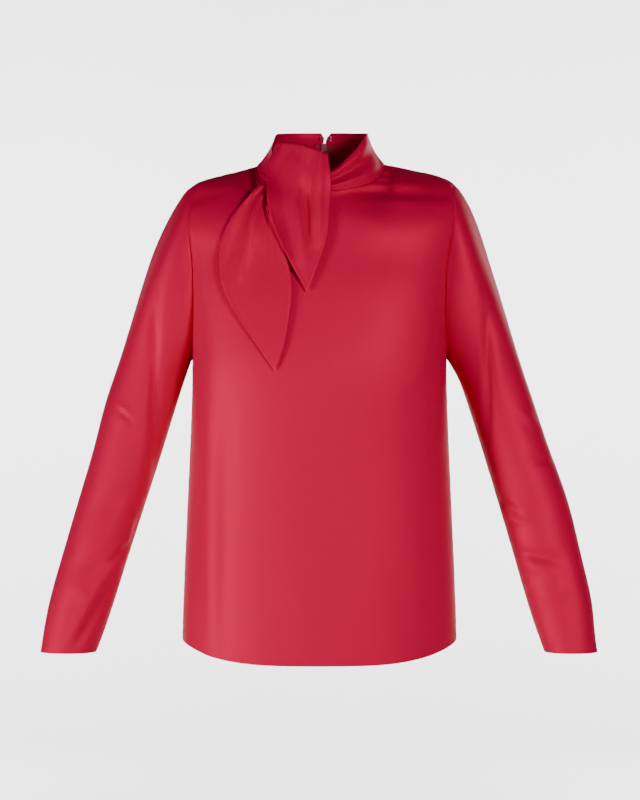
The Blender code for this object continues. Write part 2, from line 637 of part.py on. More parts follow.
def shared_facing(facings):
    """The mean normal at a seam, where pieces that face nearly the same way count as one."""
    groups = []
    for facing in facings:
        for group in groups:
            if group[0] @ facing > SAME_FACING:
                group.append(facing)
                break
        else:
            groups.append([facing])
    return unit(sum(unit(sum(group)) for group in groups))


def walls(pieces):
    """Outer and inner points of each piece, parted by the seam gap where pieces meet."""
    outers = {name: piece.grid.copy() for name, piece in pieces.items()}
    facings = {name: normals_of(piece.grid, piece.closed, piece.sign) for name, piece in pieces.items()}
    reach = {name: np.ones(piece.grid.shape[:2]) for name, piece in pieces.items()}
    for meeting in meeting_points(pieces).values():
        if len(meeting) < 2:
            continue
        shared = shared_facing([entry[3] for entry in meeting])
        mean = sum(entry[4] for entry in meeting) / len(meeting)
        thinnest = min(pieces[entry[0]].cloth for entry in meeting)
        for name, i, j, facing, inward in meeting:
            apart = inward - mean
            apart = unit(apart - shared * (apart @ shared))
            gap = SEAM_GAP * (PAIR_SHARE if len(meeting) == 2 else CORNER_SHARE)
            outers[name][i, j] += apart * gap
            facings[name][i, j] = shared
            reach[name][i, j] = thinnest / pieces[name].cloth / max(LEAST_FACING, float(facing @ shared))
    inners = {}
    for name, piece in pieces.items():
        inners[name] = outers[name] - facings[name] * (piece.cloth * reach[name])[..., None]
    return outers, inners


def material(name, color, roughness, metallic):
    made = bpy.data.materials.new(name)
    made.use_nodes = True
    shader = made.node_tree.nodes["Principled BSDF"]
    shader.inputs["Base Color"].default_value = (*color, 1.0)
    shader.inputs["Roughness"].default_value = roughness
    shader.inputs["Metallic"].default_value = metallic
    made.diffuse_color = (*color, 1.0)
    return made


def add_object(name, mesh, color, roughness=0.38, metallic=0.0):
    made = bpy.data.objects.new(name, mesh)
    bpy.context.scene.collection.objects.link(made)
    mesh.materials.append(material(name + "_finish", color, roughness, metallic))
    mesh.shade_smooth()
    mesh.set_sharp_from_angle(angle=math.radians(50))
    return made


def cloth_object(name, outer, inner, closed, sign, color):
    """A closed wall between an outer and an inner grid of points."""
    rows, columns = outer.shape[:2]
    build = bmesh.new()
    skins = [[build.verts.new(point) for point in skin.reshape(-1, 3)] for skin in (outer, inner)]
    across = columns if closed else columns - 1

    def quad(a, b, c, d):
        build.faces.new((a, b, c, d) if sign > 0 else (d, c, b, a))

    def corner(skin, i, j):
        return skins[skin][i * columns + j % columns]

    for i in range(rows - 1):
        for j in range(across):
            quad(corner(0, i, j), corner(0, i, j + 1), corner(0, i + 1, j + 1), corner(0, i + 1, j))
            quad(corner(1, i + 1, j), corner(1, i + 1, j + 1), corner(1, i, j + 1), corner(1, i, j))
    for j in range(across):
        quad(corner(1, 0, j), corner(1, 0, j + 1), corner(0, 0, j + 1), corner(0, 0, j))
        quad(corner(0, rows - 1, j), corner(0, rows - 1, j + 1), corner(1, rows - 1, j + 1), corner(1, rows - 1, j))
    if not closed:
        for i in range(rows - 1):
            quad(corner(1, i, 0), corner(0, i, 0), corner(0, i + 1, 0), corner(1, i + 1, 0))
            end = columns - 1
            quad(corner(0, i, end), corner(1, i, end), corner(1, i + 1, end), corner(0, i + 1, end))
    mesh = bpy.data.meshes.new(name)
    build.to_mesh(mesh)
    build.free()
    return add_object(name, mesh, color)


def zip_tape(back, band):
    """One tape of the zip, [row, column], inside the back seam and up inside the collar's end."""
    first = int(np.argmax(back[:, 0, 2] > back[-1, 0, 2] - TAPE_LENGTH_BELOW_NECK))
    last = int(round(TAPE_COLLAR_SHARE * COLLAR_STEPS))
    rail = np.concatenate([back[first:-1, :2], band[:last + 1, :2]])
    sideways = unit(rail[:, 1] - rail[:, 0])
    upward = unit(np.gradient(rail[:, 0], axis=0))
    outward = unit(np.cross(sideways, upward))
    outward *= np.sign(outward[:, 1:2])
    cloth = np.where(np.arange(len(rail)) < len(back) - 1 - first, CLOTH, DOUBLE_CLOTH)
    inside = rail[:, 0] - outward * (cloth + TAPE_CLEARANCE)[:, None]
    return np.stack([inside + sideways * TAPE_FROM_EDGE,
                     inside + sideways * (TAPE_FROM_EDGE + TAPE_WIDTH)], axis=1)


def box(name, size, middle, frame):
    """A box object in the slider's own frame, its scale already in the mesh."""
    build = bmesh.new()
    bmesh.ops.create_cube(build, size=1.0)
    for vert in build.verts:
        vert.co = Vector([vert.co[k] * size[k] + middle[k] for k in range(3)])
    mesh = bpy.data.meshes.new(name)
    build.to_mesh(mesh)
    build.free()
    return placed(name, mesh, frame)


def rod(name, radius, length, middle, frame):
    """A round rod along X in the slider's own frame."""
    build = bmesh.new()
    bmesh.ops.create_cone(build, cap_ends=True, segments=ROD_SIDES, radius1=radius, radius2=radius, depth=length)
    for vert in build.verts:
        x, y, z = vert.co
        vert.co = Vector((z + middle[0], y + middle[1], -x + middle[2]))
    mesh = bpy.data.meshes.new(name)
    build.to_mesh(mesh)
    build.free()
    return placed(name, mesh, frame)


def placed(name, mesh, frame):
    made = bpy.data.objects.new(name, mesh)
    bpy.context.scene.collection.objects.link(made)
    made.location, made.rotation_euler = frame
    return made


def combine(target, helper, operation):
    """Adds or cuts one shape with another, which is then only a hidden guide."""
    change = target.modifiers.new(operation.lower() + "_" + helper.name, "BOOLEAN")
    change.operation = operation
    change.object = helper
    helper.hide_render = True
    helper.display_type = "WIRE"


def metal(target, color, roughness):
    target.data.materials.append(material(target.name + "_finish", color, roughness, 1.0))


def lean_between(low, high):
    return math.atan2(low[1] - high[1], high[2] - low[2])


def slider_frame(band):
    """Place and tilt of the slider at the middle of the back, and the tilt of the tab that hangs from it."""
    height = SLIDER_SHARE * COLLAR_STEPS
    i = int(height)
    ends = (band[:, 0] + band[:, -1]) / 2
    place = ends[i] + (ends[i + 1] - ends[i]) * (height - i)
    lean = lean_between(ends[i], ends[i + 1])
    return (Vector(place), (lean, 0.0, 0.0)), lean_between(ends[0], ends[-1])


def zip_slider(frame):
    """Plate inside the collar, stem through the back opening and a bridge with the tab's hole."""
    slider = box("zip_slider", PLATE_SIZE, (0, PLATE_DEPTH, 0), frame)
    stem_middle = (0, PLATE_DEPTH + (PLATE_SIZE[1] + STEM_SIZE[1]) / 2 - STEM_BITE, 0)
    combine(slider, box("stem_guide", STEM_SIZE, stem_middle, frame), "UNION")
    combine(slider, box("bridge_guide", BRIDGE_SIZE, (0, PIVOT_OUT, 0), frame), "UNION")
    hole = rod("hole_guide", PIN_HOLE_RADIUS, 3 * BRIDGE_SIZE[0], (0, PIVOT_OUT, 0), frame)
    combine(slider, hole, "DIFFERENCE")
    metal(slider, TRIM_METAL, 0.35)


def pull_tab(frame, tab_lean):
    """Drop-shaped tab with two cheeks and a pin through the slider's bridge."""
    location, rotation = frame
    out = Vector((0, math.cos(rotation[0]), math.sin(rotation[0]))) * PIVOT_OUT
    pivot = (location + out, (tab_lean, 0.0, 0.0))
    downs = np.linspace(TAB_OUTLINE[0].down, TAB_OUTLINE[-1].down, TAB_POINTS)
    halves = spline([row.down for row in TAB_OUTLINE], [[row.half_width] for row in TAB_OUTLINE], downs)[:, 0]
    outline = [(half, -down) for down, half in zip(downs, halves)]
    outline += [(-half, -down) for down, half in zip(downs[::-1], halves[::-1])]
    build = bmesh.new()
    face = build.faces.new([build.verts.new((x, -TAB_THICKNESS / 2, z)) for x, z in outline])
    grown = bmesh.ops.extrude_face_region(build, geom=[face])
    moved = [part for part in grown["geom"] if isinstance(part, bmesh.types.BMVert)]
    bmesh.ops.translate(build, verts=moved, vec=(0, TAB_THICKNESS, 0))
    bmesh.ops.recalc_face_normals(build, faces=build.faces[:])
    mesh = bpy.data.meshes.new("zip_pull_tab")
    build.to_mesh(mesh)
    build.free()
    tab = placed("zip_pull_tab", mesh, pivot)
    reach = BRIDGE_SIZE[0] / 2 + CHEEK_GAP + CHEEK_SIZE[0] / 2
    drop = CHEEK_RISE - CHEEK_SIZE[2] / 2
    for side, label in ((-1, "right"), (1, "left")):
        cheek = box("cheek_" + label + "_guide", CHEEK_SIZE, (side * reach, 0, drop), pivot)
        combine(tab, cheek, "UNION")
    pin = rod("pin_guide", PIN_RADIUS, 2 * reach + CHEEK_SIZE[0] / 2, (0, 0, 0), pivot)
    combine(tab, pin, "UNION")
    metal(tab, TRIM_METAL, 0.35)


def arc(middle, radius, first, last, count):
    turns = np.radians(np.linspace(first, last, count))
    return np.stack([middle[0] + radius * np.cos(turns), middle[1] + radius * np.sin(turns)], axis=1)


def wire_fastening(name, wire, end, beside):
    """A bent wire hook or eye, sewn inside a collar end and pointing at the other one."""
    foot = wire.loop_radius + CURL_RADIUS
    path = np.concatenate([
        arc((-foot, -CURL_DROP), CURL_RADIUS, CURL_START, CURL_END, CURL_POINTS),
        arc((0, wire.loop_length), wire.loop_radius, 180, 0, LOOP_POINTS),
        arc((foot, -CURL_DROP), CURL_RADIUS, SECOND_CURL_START, SECOND_CURL_END, CURL_POINTS)])
    i = COLLAR_STEPS - 1
    towards = unit(end[i] - beside[i])
    upward = unit(end[i] - end[i - 1])
    upward = unit(upward - towards * (upward @ towards))
    outward = np.cross(towards, upward)
    outward = outward * np.sign(outward[1])
    depth = DOUBLE_CLOTH + WIRE_CLEARANCE + WIRE_RADIUS
    middle = end[i] - towards * wire.set_back - outward * depth
    centres = middle + path[:, :1] * upward + path[:, 1:] * towards
    ways = unit(np.gradient(centres, axis=0))
    sideways = np.cross(ways, outward)
    build = bmesh.new()
    rings = []
    for centre, sidestep in zip(centres, sideways):
        rings.append([build.verts.new(centre + WIRE_RADIUS * (math.cos(t) * outward + math.sin(t) * sidestep))
                      for t in np.linspace(0, 2 * math.pi, WIRE_SIDES, endpoint=False)])
    for ring, after in zip(rings, rings[1:]):
        for k in range(WIRE_SIDES):
            beyond = (k + 1) % WIRE_SIDES
            build.faces.new((ring[k], ring[beyond], after[beyond], after[k]))
    build.faces.new(rings[0][::-1])
    build.faces.new(rings[-1])
    bmesh.ops.recalc_face_normals(build, faces=build.faces[:])
    mesh = bpy.data.meshes.new(name)
    build.to_mesh(mesh)
    build.free()
    return add_object(name, mesh, TRIM_METAL, 0.30, 1.0)


def main():
    for old in list(bpy.data.objects):
        bpy.data.objects.remove(old, do_unlink=True)
    front_half = half_panel(back=False, fineness=1)
    back_half = half_panel(back=True, fineness=1)
    front = np.concatenate([mirrored(front_half)[:, :0:-1], front_half], axis=1)
    front = creased(front, normals_of(front, False, 1), BODY_CREASES, closed=False)
    pieces = {
        "front": Piece(front, False, 1, CLOTH, SATIN_RED),
        "back_left": Piece(back_half[:, ::-1], False, 1, CLOTH, SATIN_RED),
        "back_right": Piece(mirrored(back_half), False, 1, CLOTH, SATIN_RED),
        "collar": Piece(collar(1), False, 1, DOUBLE_CLOTH, SATIN_RED),
    }
    for name, side in SIDE_OF_SLEEVE.items():
        grid = sleeve(name, front_half, back_half, 1)
        mirror = np.array([side, 1.0, 1.0])
        facing = normals_of(grid, True, -side)
        grid = creased(grid * mirror, facing * mirror, SLEEVE_CREASES, closed=True) * mirror
        pieces[name] = Piece(grid, True, -side, CLOTH, SATIN_RED)
    under = [pieces["front"].grid, pieces["collar"].grid]
    lower = tie_end(TIE_LOWER, PLEATS_LOWER, surface_tree(under), 0.0, seated=True)
    upper = tie_end(TIE_UPPER, PLEATS_UPPER, surface_tree(under + [lower]), TIE_TOP_CROWN, seated=False)
    pieces["tie_lower"] = Piece(lower, False, -1, DOUBLE_CLOTH, SATIN_RED)
    pieces["tie_upper"] = Piece(tucked_over(upper), False, -1, DOUBLE_CLOTH, SATIN_RED)
    pieces = {name: piece._replace(grid=tilted(piece.grid)) for name, piece in pieces.items()}
    band = pieces["collar"].grid
    tapes = {
        "zip_tape_left": Piece(zip_tape(back_half, band[:, ::-1]), False, -1, TAPE_CLOTH, TAPE_RED),
        "zip_tape_right": Piece(zip_tape(mirrored(back_half), band), False, 1, TAPE_CLOTH, TAPE_RED),
    }
    for group in (pieces, tapes):
        outers, inners = walls(group)
        for name, piece in group.items():
            cloth_object(name, outers[name], inners[name], piece.closed, piece.sign, piece.color)
    frame, tab_lean = slider_frame(band)
    zip_slider(frame)
    pull_tab(frame, tab_lean)
    wire_fastening("hook", HOOK, band[:, 0], band[:, 1])
    wire_fastening("eye", EYE, band[:, -1], band[:, -2])


main()
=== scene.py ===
# %% [markdown]
# # A tie neck blouse in red satin
#
# This lesson dresses the blouse's solids in cloth. The solids already have the garment's true shape, so each
# piece of cloth here is the same surface drawn more finely, with the creases, seams and fastenings that the
# solids leave out. Working from the same named sizes keeps cloth and solids together.

# %% Tools and the frame
import math
from collections import namedtuple

import bpy
import numpy as np
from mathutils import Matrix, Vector
from mathutils.bvhtree import BVHTree


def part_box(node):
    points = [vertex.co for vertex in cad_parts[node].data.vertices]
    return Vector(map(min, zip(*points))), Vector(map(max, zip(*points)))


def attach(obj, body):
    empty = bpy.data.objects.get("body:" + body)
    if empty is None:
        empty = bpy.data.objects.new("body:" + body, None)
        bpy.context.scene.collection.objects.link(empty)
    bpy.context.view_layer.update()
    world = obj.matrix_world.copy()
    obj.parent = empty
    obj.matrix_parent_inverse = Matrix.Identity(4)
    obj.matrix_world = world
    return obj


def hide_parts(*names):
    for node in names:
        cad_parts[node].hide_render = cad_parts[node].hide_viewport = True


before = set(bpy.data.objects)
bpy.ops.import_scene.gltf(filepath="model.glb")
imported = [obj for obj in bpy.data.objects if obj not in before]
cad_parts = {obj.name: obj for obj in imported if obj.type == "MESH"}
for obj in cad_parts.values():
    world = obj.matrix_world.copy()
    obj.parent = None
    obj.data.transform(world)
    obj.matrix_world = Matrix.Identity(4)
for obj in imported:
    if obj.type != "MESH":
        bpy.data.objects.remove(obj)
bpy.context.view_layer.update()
BODY = "blouse"

# %% [markdown]
# ## Small tools
#
# Cloth is drawn as grids of points, row by row. A cubic spline carries each column smoothly through a few
# known sections. It could be done with curve objects, but a grid is easier to crease, because every point
# knows its neighbours and how far it is from each edge.


# %% Splines, blends and lengths
def spline(knots, values, at, start=None, end=None):
    """Smooth cubic curve through values at knots, with the slopes start and end where given."""
    knots = np.asarray(knots, float)
    values = np.asarray(values, float)
    last = len(knots) - 1
    step = np.diff(knots)
    rise = np.diff(values, axis=0) / step.reshape((-1,) + (1,) * (values.ndim - 1))
    system = np.zeros((last + 1, last + 1))
    right = np.zeros_like(values)
    for i in range(1, last):
        system[i, i - 1:i + 2] = step[i - 1], 2 * (step[i - 1] + step[i]), step[i]
        right[i] = 6 * (rise[i] - rise[i - 1])
    system[0, 0] = system[last, last] = 1.0
    if start is not None:
        system[0, :2] = 2 * step[0], step[0]
        right[0] = 6 * (rise[0] - start)
    if end is not None:
        system[last, last - 1:] = step[-1], 2 * step[-1]
        right[last] = 6 * (end - rise[-1])
    bend = np.linalg.solve(system, right.reshape(last + 1, -1)).reshape(values.shape)
    at = np.atleast_1d(np.asarray(at, float))
    i = np.clip(np.searchsorted(knots, at, side="right") - 1, 0, last - 1)
    shape = (-1,) + (1,) * (values.ndim - 1)
    before = (knots[i + 1] - at).reshape(shape)
    after = (at - knots[i]).reshape(shape)
    width = step[i].reshape(shape)
    curved = (bend[i] * before ** 3 + bend[i + 1] * after ** 3) / (6 * width)
    straight = (values[i] / width - bend[i] * width / 6) * before
    return curved + straight + (values[i + 1] / width - bend[i + 1] * width / 6) * after


def unit(vectors):
    length = np.linalg.norm(vectors, axis=-1, keepdims=True)
    return vectors / np.maximum(length, 1e-12)


def smooth_step(value):
    value = np.clip(value, 0.0, 1.0)
    return value * value * (3 - 2 * value)


def along(points):
    """Distance along a row of points."""
    return np.concatenate([[0.0], np.cumsum(np.linalg.norm(np.diff(points, axis=0), axis=1))])


def mirrored(points):
    return points * np.array([-1.0, 1.0, 1.0])


# %% [markdown]
# ## The body
#
# The front and the two half backs share one table of level sections, from hem to shoulder. Each section is a
# rounded oval: half width at the side, depth at the middle, and how square it is. The armhole is cut by
# pulling the side columns inwards, and the neck by ending the middle columns on the neckline.

# %% Sizes of the body
FINE = 6                  # how much finer than the solids the cloth is drawn
UNDERARM_Z = -0.243
NECK_SHARE = 0.36
ARMHOLE_FRONT_DEPTH = 0.235
ARMHOLE_BACK_DEPTH = 0.245
ARMHOLE_ROUNDNESS = 2.5
NECK_LEAN_FRONT = 0.25
NECK_LEAN_SIDE = 0.70
NECK_HALF_WIDTH = 0.0840
NECK_MID_Y = 0.004
NECK_FRONT_Y = -0.078
NECK_BACK_Y = 0.070
NECK_SIDE_Z = 0.009
NECK_FRONT_Z = -0.031
NECK_BACK_Z = -0.003
NECK_CURVE_FRONT = 0.8    # how the neck seam falls from its sides: below 1 it falls late, above 1 early
NECK_CURVE_BACK = 1.5
OVER_FROM = 0.25          # shares of the neck's width over which the panel turns to run over the shoulder
OVER_FADE = 1.45
OVER_RISE = 0.02
HEM_FLATNESS = 3.8        # how flat the hem's middle is before it rises to the side seams
SECTION_POINTS = 3001
SHOULDER_TILT = 0.018     # the wearer's left shoulder is a little higher and both stand to the left
SHOULDER_SHIFT = 0.0025
TILT_FROM_X = 0.040
TILT_FADE_X = 0.070
TILT_FROM_Z = -0.130
TILT_FADE_Z = 0.100
NECK_STEPS = 7
SHOULDER_STEPS = 5
HEM_STEPS = 10
HEM_GRADING = 1.4
CORNER_ROUNDS = 80        # how much, how far round and how near the seam the neck corner is evened out
CORNER_REACH = 0.034
CORNER_EDGE = 0.010
ARMHOLE_STEPS = 14

Level = namedtuple("Level", "name at side_x side_z front_y front_z back_y back_z squareness")
BODY_LEVELS = [
    Level("hem", 0.000, 0.1805, -0.616, -0.120, -0.641, 0.112, -0.645, 2.3),
    Level("hip", 0.085, 0.1780, -0.540, -0.120, -0.556, 0.112, -0.560, 2.3),
    Level("waist", 0.190, 0.1735, -0.435, -0.119, -0.445, 0.101, -0.447, 2.4),
    Level("ribs", 0.280, 0.1695, -0.345, -0.124, -0.350, 0.101, -0.350, 2.5),
    Level("bust", 0.360, 0.1672, -0.266, -0.130, -0.262, 0.105, -0.265, 2.7),
    Level("chest", 0.430, 0.1680, -0.198, -0.123, -0.198, 0.109, -0.198, 2.9),
    Level("armhole", 0.480, 0.1710, -0.150, -0.113, -0.150, 0.110, -0.150, 3.0),
    Level("upper_chest", 0.525, 0.1765, -0.106, -0.101, -0.106, 0.107, -0.105, 3.0),
    Level("yoke", 0.565, 0.1845, -0.068, -0.090, -0.066, 0.097, -0.060, 2.9),
]
SHOULDER_AT = 0.640
ShoulderPoint = namedtuple("ShoulderPoint", "x y z")
SHOULDER_SEAM = [
    ShoulderPoint(0.0840, 0.004, 0.009),
    ShoulderPoint(0.1150, 0.004, 0.001),
    ShoulderPoint(0.1450, 0.003, -0.006),
    ShoulderPoint(0.1650, 0.002, -0.013),
    ShoulderPoint(0.1785, 0.001, -0.024),
    ShoulderPoint(0.1860, 0.000, -0.037),
]


# %% Half panels
def tilted(points):
    """The same points with the shoulders tilted and shifted as the blouse hangs."""
    aside = smooth_step((np.abs(points[..., 0]) - TILT_FROM_X) / TILT_FADE_X)
    share = aside * smooth_step((points[..., 2] - TILT_FROM_Z) / TILT_FADE_Z)
    moved = points.copy()
    moved[..., 0] += SHOULDER_SHIFT * share
    moved[..., 2] += SHOULDER_TILT * points[..., 0] * share
    return moved


def level_section(level, shares, back):
    """Points of a quarter section, at shares of its length from the middle to the side."""
    turn = np.linspace(0, math.pi / 2, SECTION_POINTS)
    across = np.sin(turn)
    depth = (1 - across ** level.squareness) ** (1 / level.squareness)
    mid_y, mid_z = (level.back_y, level.back_z) if back else (level.front_y, level.front_z)
    drop = across ** HEM_FLATNESS
    points = np.stack([level.side_x * across, mid_y * depth,
                       mid_z + (level.side_z - mid_z) * drop], axis=1)
    length = along(points)
    return np.stack([np.interp(shares, length / length[-1], points[:, k]) for k in range(3)], axis=1)


def neckline(turn):
    """Points of the neck seam at angles from the middle of the front (0) to that of the back (pi)."""
    turn = np.asarray(turn, float)
    cosine = np.cos(turn)
    front = cosine > 0
    y = NECK_MID_Y + np.where(front, NECK_FRONT_Y - NECK_MID_Y, NECK_MID_Y - NECK_BACK_Y) * cosine
    fall = np.where(front, NECK_FRONT_Z - NECK_SIDE_Z, NECK_BACK_Z - NECK_SIDE_Z)
    z = NECK_SIDE_Z + fall * np.abs(cosine) ** np.where(front, NECK_CURVE_FRONT, NECK_CURVE_BACK)
    return np.stack([NECK_HALF_WIDTH * np.sin(turn), y, z], axis=-1)


def top_edge(shares, back):
    """Neckline and then shoulder seam, at shares of the half panel's width."""
    turn = math.pi / 2 * np.clip(shares / NECK_SHARE, 0, 1)
    neck = neckline(math.pi - turn if back else turn)
    seam = np.array(SHOULDER_SEAM)
    length = along(seam)
    part = np.clip((shares - NECK_SHARE) / (1 - NECK_SHARE), 0, 1)
    shoulder = spline(length, seam, part * length[-1])
    return np.where((shares <= NECK_SHARE)[:, None], neck, shoulder)


def underarm_at():
    heights = [level.side_z for level in BODY_LEVELS]
    return float(np.interp(UNDERARM_Z, heights, [level.at for level in BODY_LEVELS]))


def panel_columns(fineness):
    neck = np.linspace(0, NECK_SHARE, NECK_STEPS * fineness + 1)
    shoulder = np.linspace(NECK_SHARE, 1, SHOULDER_STEPS * fineness + 1)[1:]
    return np.concatenate([neck, shoulder])


def row_shares(at, back, fineness):
    """Where the columns of a row stand, from the middle (0) to the side (1), cut in beside the armhole."""
    place = np.clip((at - underarm_at()) / (SHOULDER_AT - underarm_at()), 0, 1)
    bite = np.sqrt(1 - np.abs(2 * place - 1) ** ARMHOLE_ROUNDNESS)
    depth = ARMHOLE_BACK_DEPTH if back else ARMHOLE_FRONT_DEPTH
    shares = panel_columns(fineness)
    return shares - depth * bite * shares ** 2


def panel_rows(fineness):
    """Heights of a panel's rows, from the hem to the shoulder."""
    left = np.linspace(1, 0, HEM_STEPS * fineness + 1)
    low = underarm_at() * (1 - left ** HEM_GRADING)
    turn = np.linspace(0, math.pi, ARMHOLE_STEPS * fineness + 1)[1:]
    high = underarm_at() + (SHOULDER_AT - underarm_at()) * (1 - np.cos(turn)) / 2
    return np.concatenate([low, high])


def half_panel(back, fineness):
    """Half of the front or back, [row, column], from the middle to the wearer's left."""
    knots = [level.at for level in BODY_LEVELS] + [SHOULDER_AT]
    rows = []
    for at in panel_rows(fineness):
        shares = row_shares(at, back, fineness)
        sections = [level_section(level, shares, back) for level in BODY_LEVELS]
        top = top_edge(shares, back)
        to_seam = -1.0 if back else 1.0
        turn = math.pi / 2 * np.clip(shares / NECK_SHARE, 0, 1)
        inward = NECK_LEAN_FRONT + (NECK_LEAN_SIDE - NECK_LEAN_FRONT) * np.sin(turn) ** 2
        to_neck = np.stack([-np.sin(turn) * inward, to_seam * np.cos(turn) * inward,
                            np.sqrt(1 - inward ** 2)], axis=1)
        over = np.array([0.0, to_seam, OVER_RISE])
        lean = smooth_step((shares / NECK_SHARE - OVER_FROM) / OVER_FADE)[:, None]
        last_step = np.linalg.norm(top - sections[-1], axis=1, keepdims=True) / (knots[-1] - knots[-2])
        end = unit(to_neck * (1 - lean) + over * lean) * last_step
        rows.append(spline(knots, np.stack(sections + [top]), [at], end=end)[0])
    return np.stack(rows)


def blurred(values, rounds):
    """Evens out a grid of numbers, its edges too."""
    for _ in range(rounds):
        padded = np.pad(values, 1, mode="reflect", reflect_type="odd")
        values = (padded[:-2, 1:-1] + padded[2:, 1:-1] + padded[1:-1, :-2] + padded[1:-1, 2:]
                  + 4 * padded[1:-1, 1:-1]) / 8
    return values


def corner_softened(grid):
    """A panel with the bend under its neck corners evened out, its seam edge left where it is."""
    soft = np.stack([blurred(grid[..., k], CORNER_ROUNDS) for k in range(3)], axis=-1)
    corner = np.array([NECK_HALF_WIDTH, NECK_MID_Y, NECK_SIDE_Z])
    far = np.linalg.norm(np.abs(grid * [1, 0, 0]) + grid * [0, 1, 1] - corner, axis=-1)
    free = smooth_step(np.linalg.norm(grid - grid[-1:], axis=-1) / CORNER_EDGE)
    share = free * np.exp(-(far / CORNER_REACH) ** 2)
    return grid + (soft - grid) * share[..., None]


front_half = half_panel(back=False, fineness=FINE)
back_half = half_panel(back=True, fineness=FINE)
print("half front:", front_half.shape[0], "rows of", front_half.shape[1], "points")

# %% [markdown]
# ## The sleeves
#
# Each sleeve leaves the armhole seam and runs down through level rings to the cuff. The two tables differ,
# because the sleeves hang a little differently. The way a sleeve leaves the seam sets its cap: steep under
# the arm and outwards at the shoulder.

# %% Sizes of the sleeves
CAP_STEPS = 6
SLEEVE_STEPS = 17
SleeveRing = namedtuple("SleeveRing", "z inner_x outer_x mid_y half_depth")
SLEEVES = {
    "sleeve_right": [
        SleeveRing(-0.262, 0.1735, 0.2683, 0.000, 0.0480),
        SleeveRing(-0.300, 0.1860, 0.2810, -0.001, 0.0470),
        SleeveRing(-0.354, 0.2026, 0.2950, -0.003, 0.0455),
        SleeveRing(-0.433, 0.2277, 0.3175, -0.008, 0.0430),
        SleeveRing(-0.512, 0.2528, 0.3400, -0.016, 0.0410),
        SleeveRing(-0.572, 0.2713, 0.3557, -0.023, 0.0385),
        SleeveRing(-0.611, 0.2845, 0.3623, -0.028, 0.0365),
        SleeveRing(-0.630, 0.2917, 0.3650, -0.031, 0.0350),
    ],
    "sleeve_left": [
        SleeveRing(-0.262, 0.1775, 0.2685, 0.000, 0.0480),
        SleeveRing(-0.300, 0.1932, 0.2812, -0.001, 0.0470),
        SleeveRing(-0.354, 0.2105, 0.2990, -0.003, 0.0455),
        SleeveRing(-0.433, 0.2343, 0.3267, -0.008, 0.0430),
        SleeveRing(-0.512, 0.2572, 0.3457, -0.016, 0.0410),
        SleeveRing(-0.572, 0.2745, 0.3580, -0.023, 0.0385),
        SleeveRing(-0.611, 0.2873, 0.3613, -0.028, 0.0365),
        SleeveRing(-0.630, 0.2940, 0.3637, -0.031, 0.0350),
    ],
}
SIDE_OF_SLEEVE = {"sleeve_right": -1, "sleeve_left": 1}
UNDERARM_WAY = (0.30, 0.0, -0.95)
SHOULDER_WAY = (0.74, 0.0, -0.66)
SLEEVE_FULLNESS = 0.30
SHOULDER_PULL = 0.45


# %% Rings of a sleeve
def sleeve(name, front, back, fineness):
    """Rings of one sleeve, [row, column], from the armhole to the cuff."""
    side = SIDE_OF_SLEEVE[name]
    first = HEM_STEPS * fineness
    forward = front[first:, -1]
    rearward = back[first:, -1]
    ring = np.concatenate([forward, rearward[-2:0:-1]])
    half = len(forward) - 1
    share_front = along(forward) / along(forward)[-1]
    share_back = along(rearward) / along(rearward)[-1]
    turn = math.pi * np.concatenate([share_front, 2 - share_back[-2:0:-1]])
    stations = [ring]
    for level in SLEEVES[name]:
        mid_x = (level.inner_x + level.outer_x) / 2
        half_x = (level.outer_x - level.inner_x) / 2
        stations.append(np.stack([mid_x - half_x * np.cos(turn), level.mid_y - level.half_depth * np.sin(turn),
                                  np.full(len(turn), level.z)], axis=1))
    stations = np.stack(stations)
    outer = ((1 - np.cos(turn)) / 2)[:, None]
    start = np.array(UNDERARM_WAY) * (1 - outer) + np.array(SHOULDER_WAY) * outer
    start[:, 1] -= SLEEVE_FULLNESS * np.sin(turn)
    start = unit(start) * (1 - (1 - SHOULDER_PULL) * outer)
    grid = []
    for k in range(2 * half):
        length = along(stations[:, k])
        cap = np.linspace(0, length[1], CAP_STEPS * fineness + 1)
        share = np.linspace(0, 1, SLEEVE_STEPS * fineness + 1)[1:]
        heights = stations[1:, k, 2]
        below = np.interp(heights[0] + (heights[-1] - heights[0]) * share, heights[::-1], length[1:][::-1])
        grid.append(spline(length, stations[:, k], np.concatenate([cap, below]), start=start[k]))
    grid = np.stack(grid, axis=1)
    return grid if side > 0 else mirrored(grid)


# %% [markdown]
# ## The collar
#
# The collar is a stand band, open at the centre back. Its top edge dips in front, where the tie lies over it,
# and its front carries three soft rolls on the wearer's left. The two ends at the back part in a small slit
# for the zip's slider and spread into a notch at the top.

# %% Sizes of the collar
COLLAR_STEPS = 8
COLLAR_TOP_HALF_WIDTH = 0.0600
COLLAR_TOP_FRONT_Y = -0.066
COLLAR_TOP_BACK_Y = 0.052
COLLAR_TOP_SIDE_Z = 0.050
COLLAR_TOP_BACK_Z = 0.0565
COLLAR_SHIFT_X = 0.003
COLLAR_WAIST = 0.0030
BACK_FROM = 2.2
BACK_SHIFT_X = 0.009
SLIT_HALF_WIDTH = 0.0015
SLIT_FROM = 0.50
SLIT_FULL = 0.62
NOTCH_HALF_WIDTH = 0.0060
NOTCH_FROM = 0.87
CollarEdge = namedtuple("CollarEdge", "degrees share")
COLLAR_EDGE = [
    CollarEdge(-180, 1.00), CollarEdge(-95, 1.00), CollarEdge(-82, 0.88), CollarEdge(-68, 0.58),
    CollarEdge(-50, 0.44), CollarEdge(-25, 0.37), CollarEdge(0, 0.32), CollarEdge(12, 0.33), CollarEdge(24, 0.46),
    CollarEdge(40, 0.64), CollarEdge(60, 0.86), CollarEdge(90, 1.00), CollarEdge(180, 1.00),
]
CollarRoll = namedtuple("CollarRoll", "share width rise")
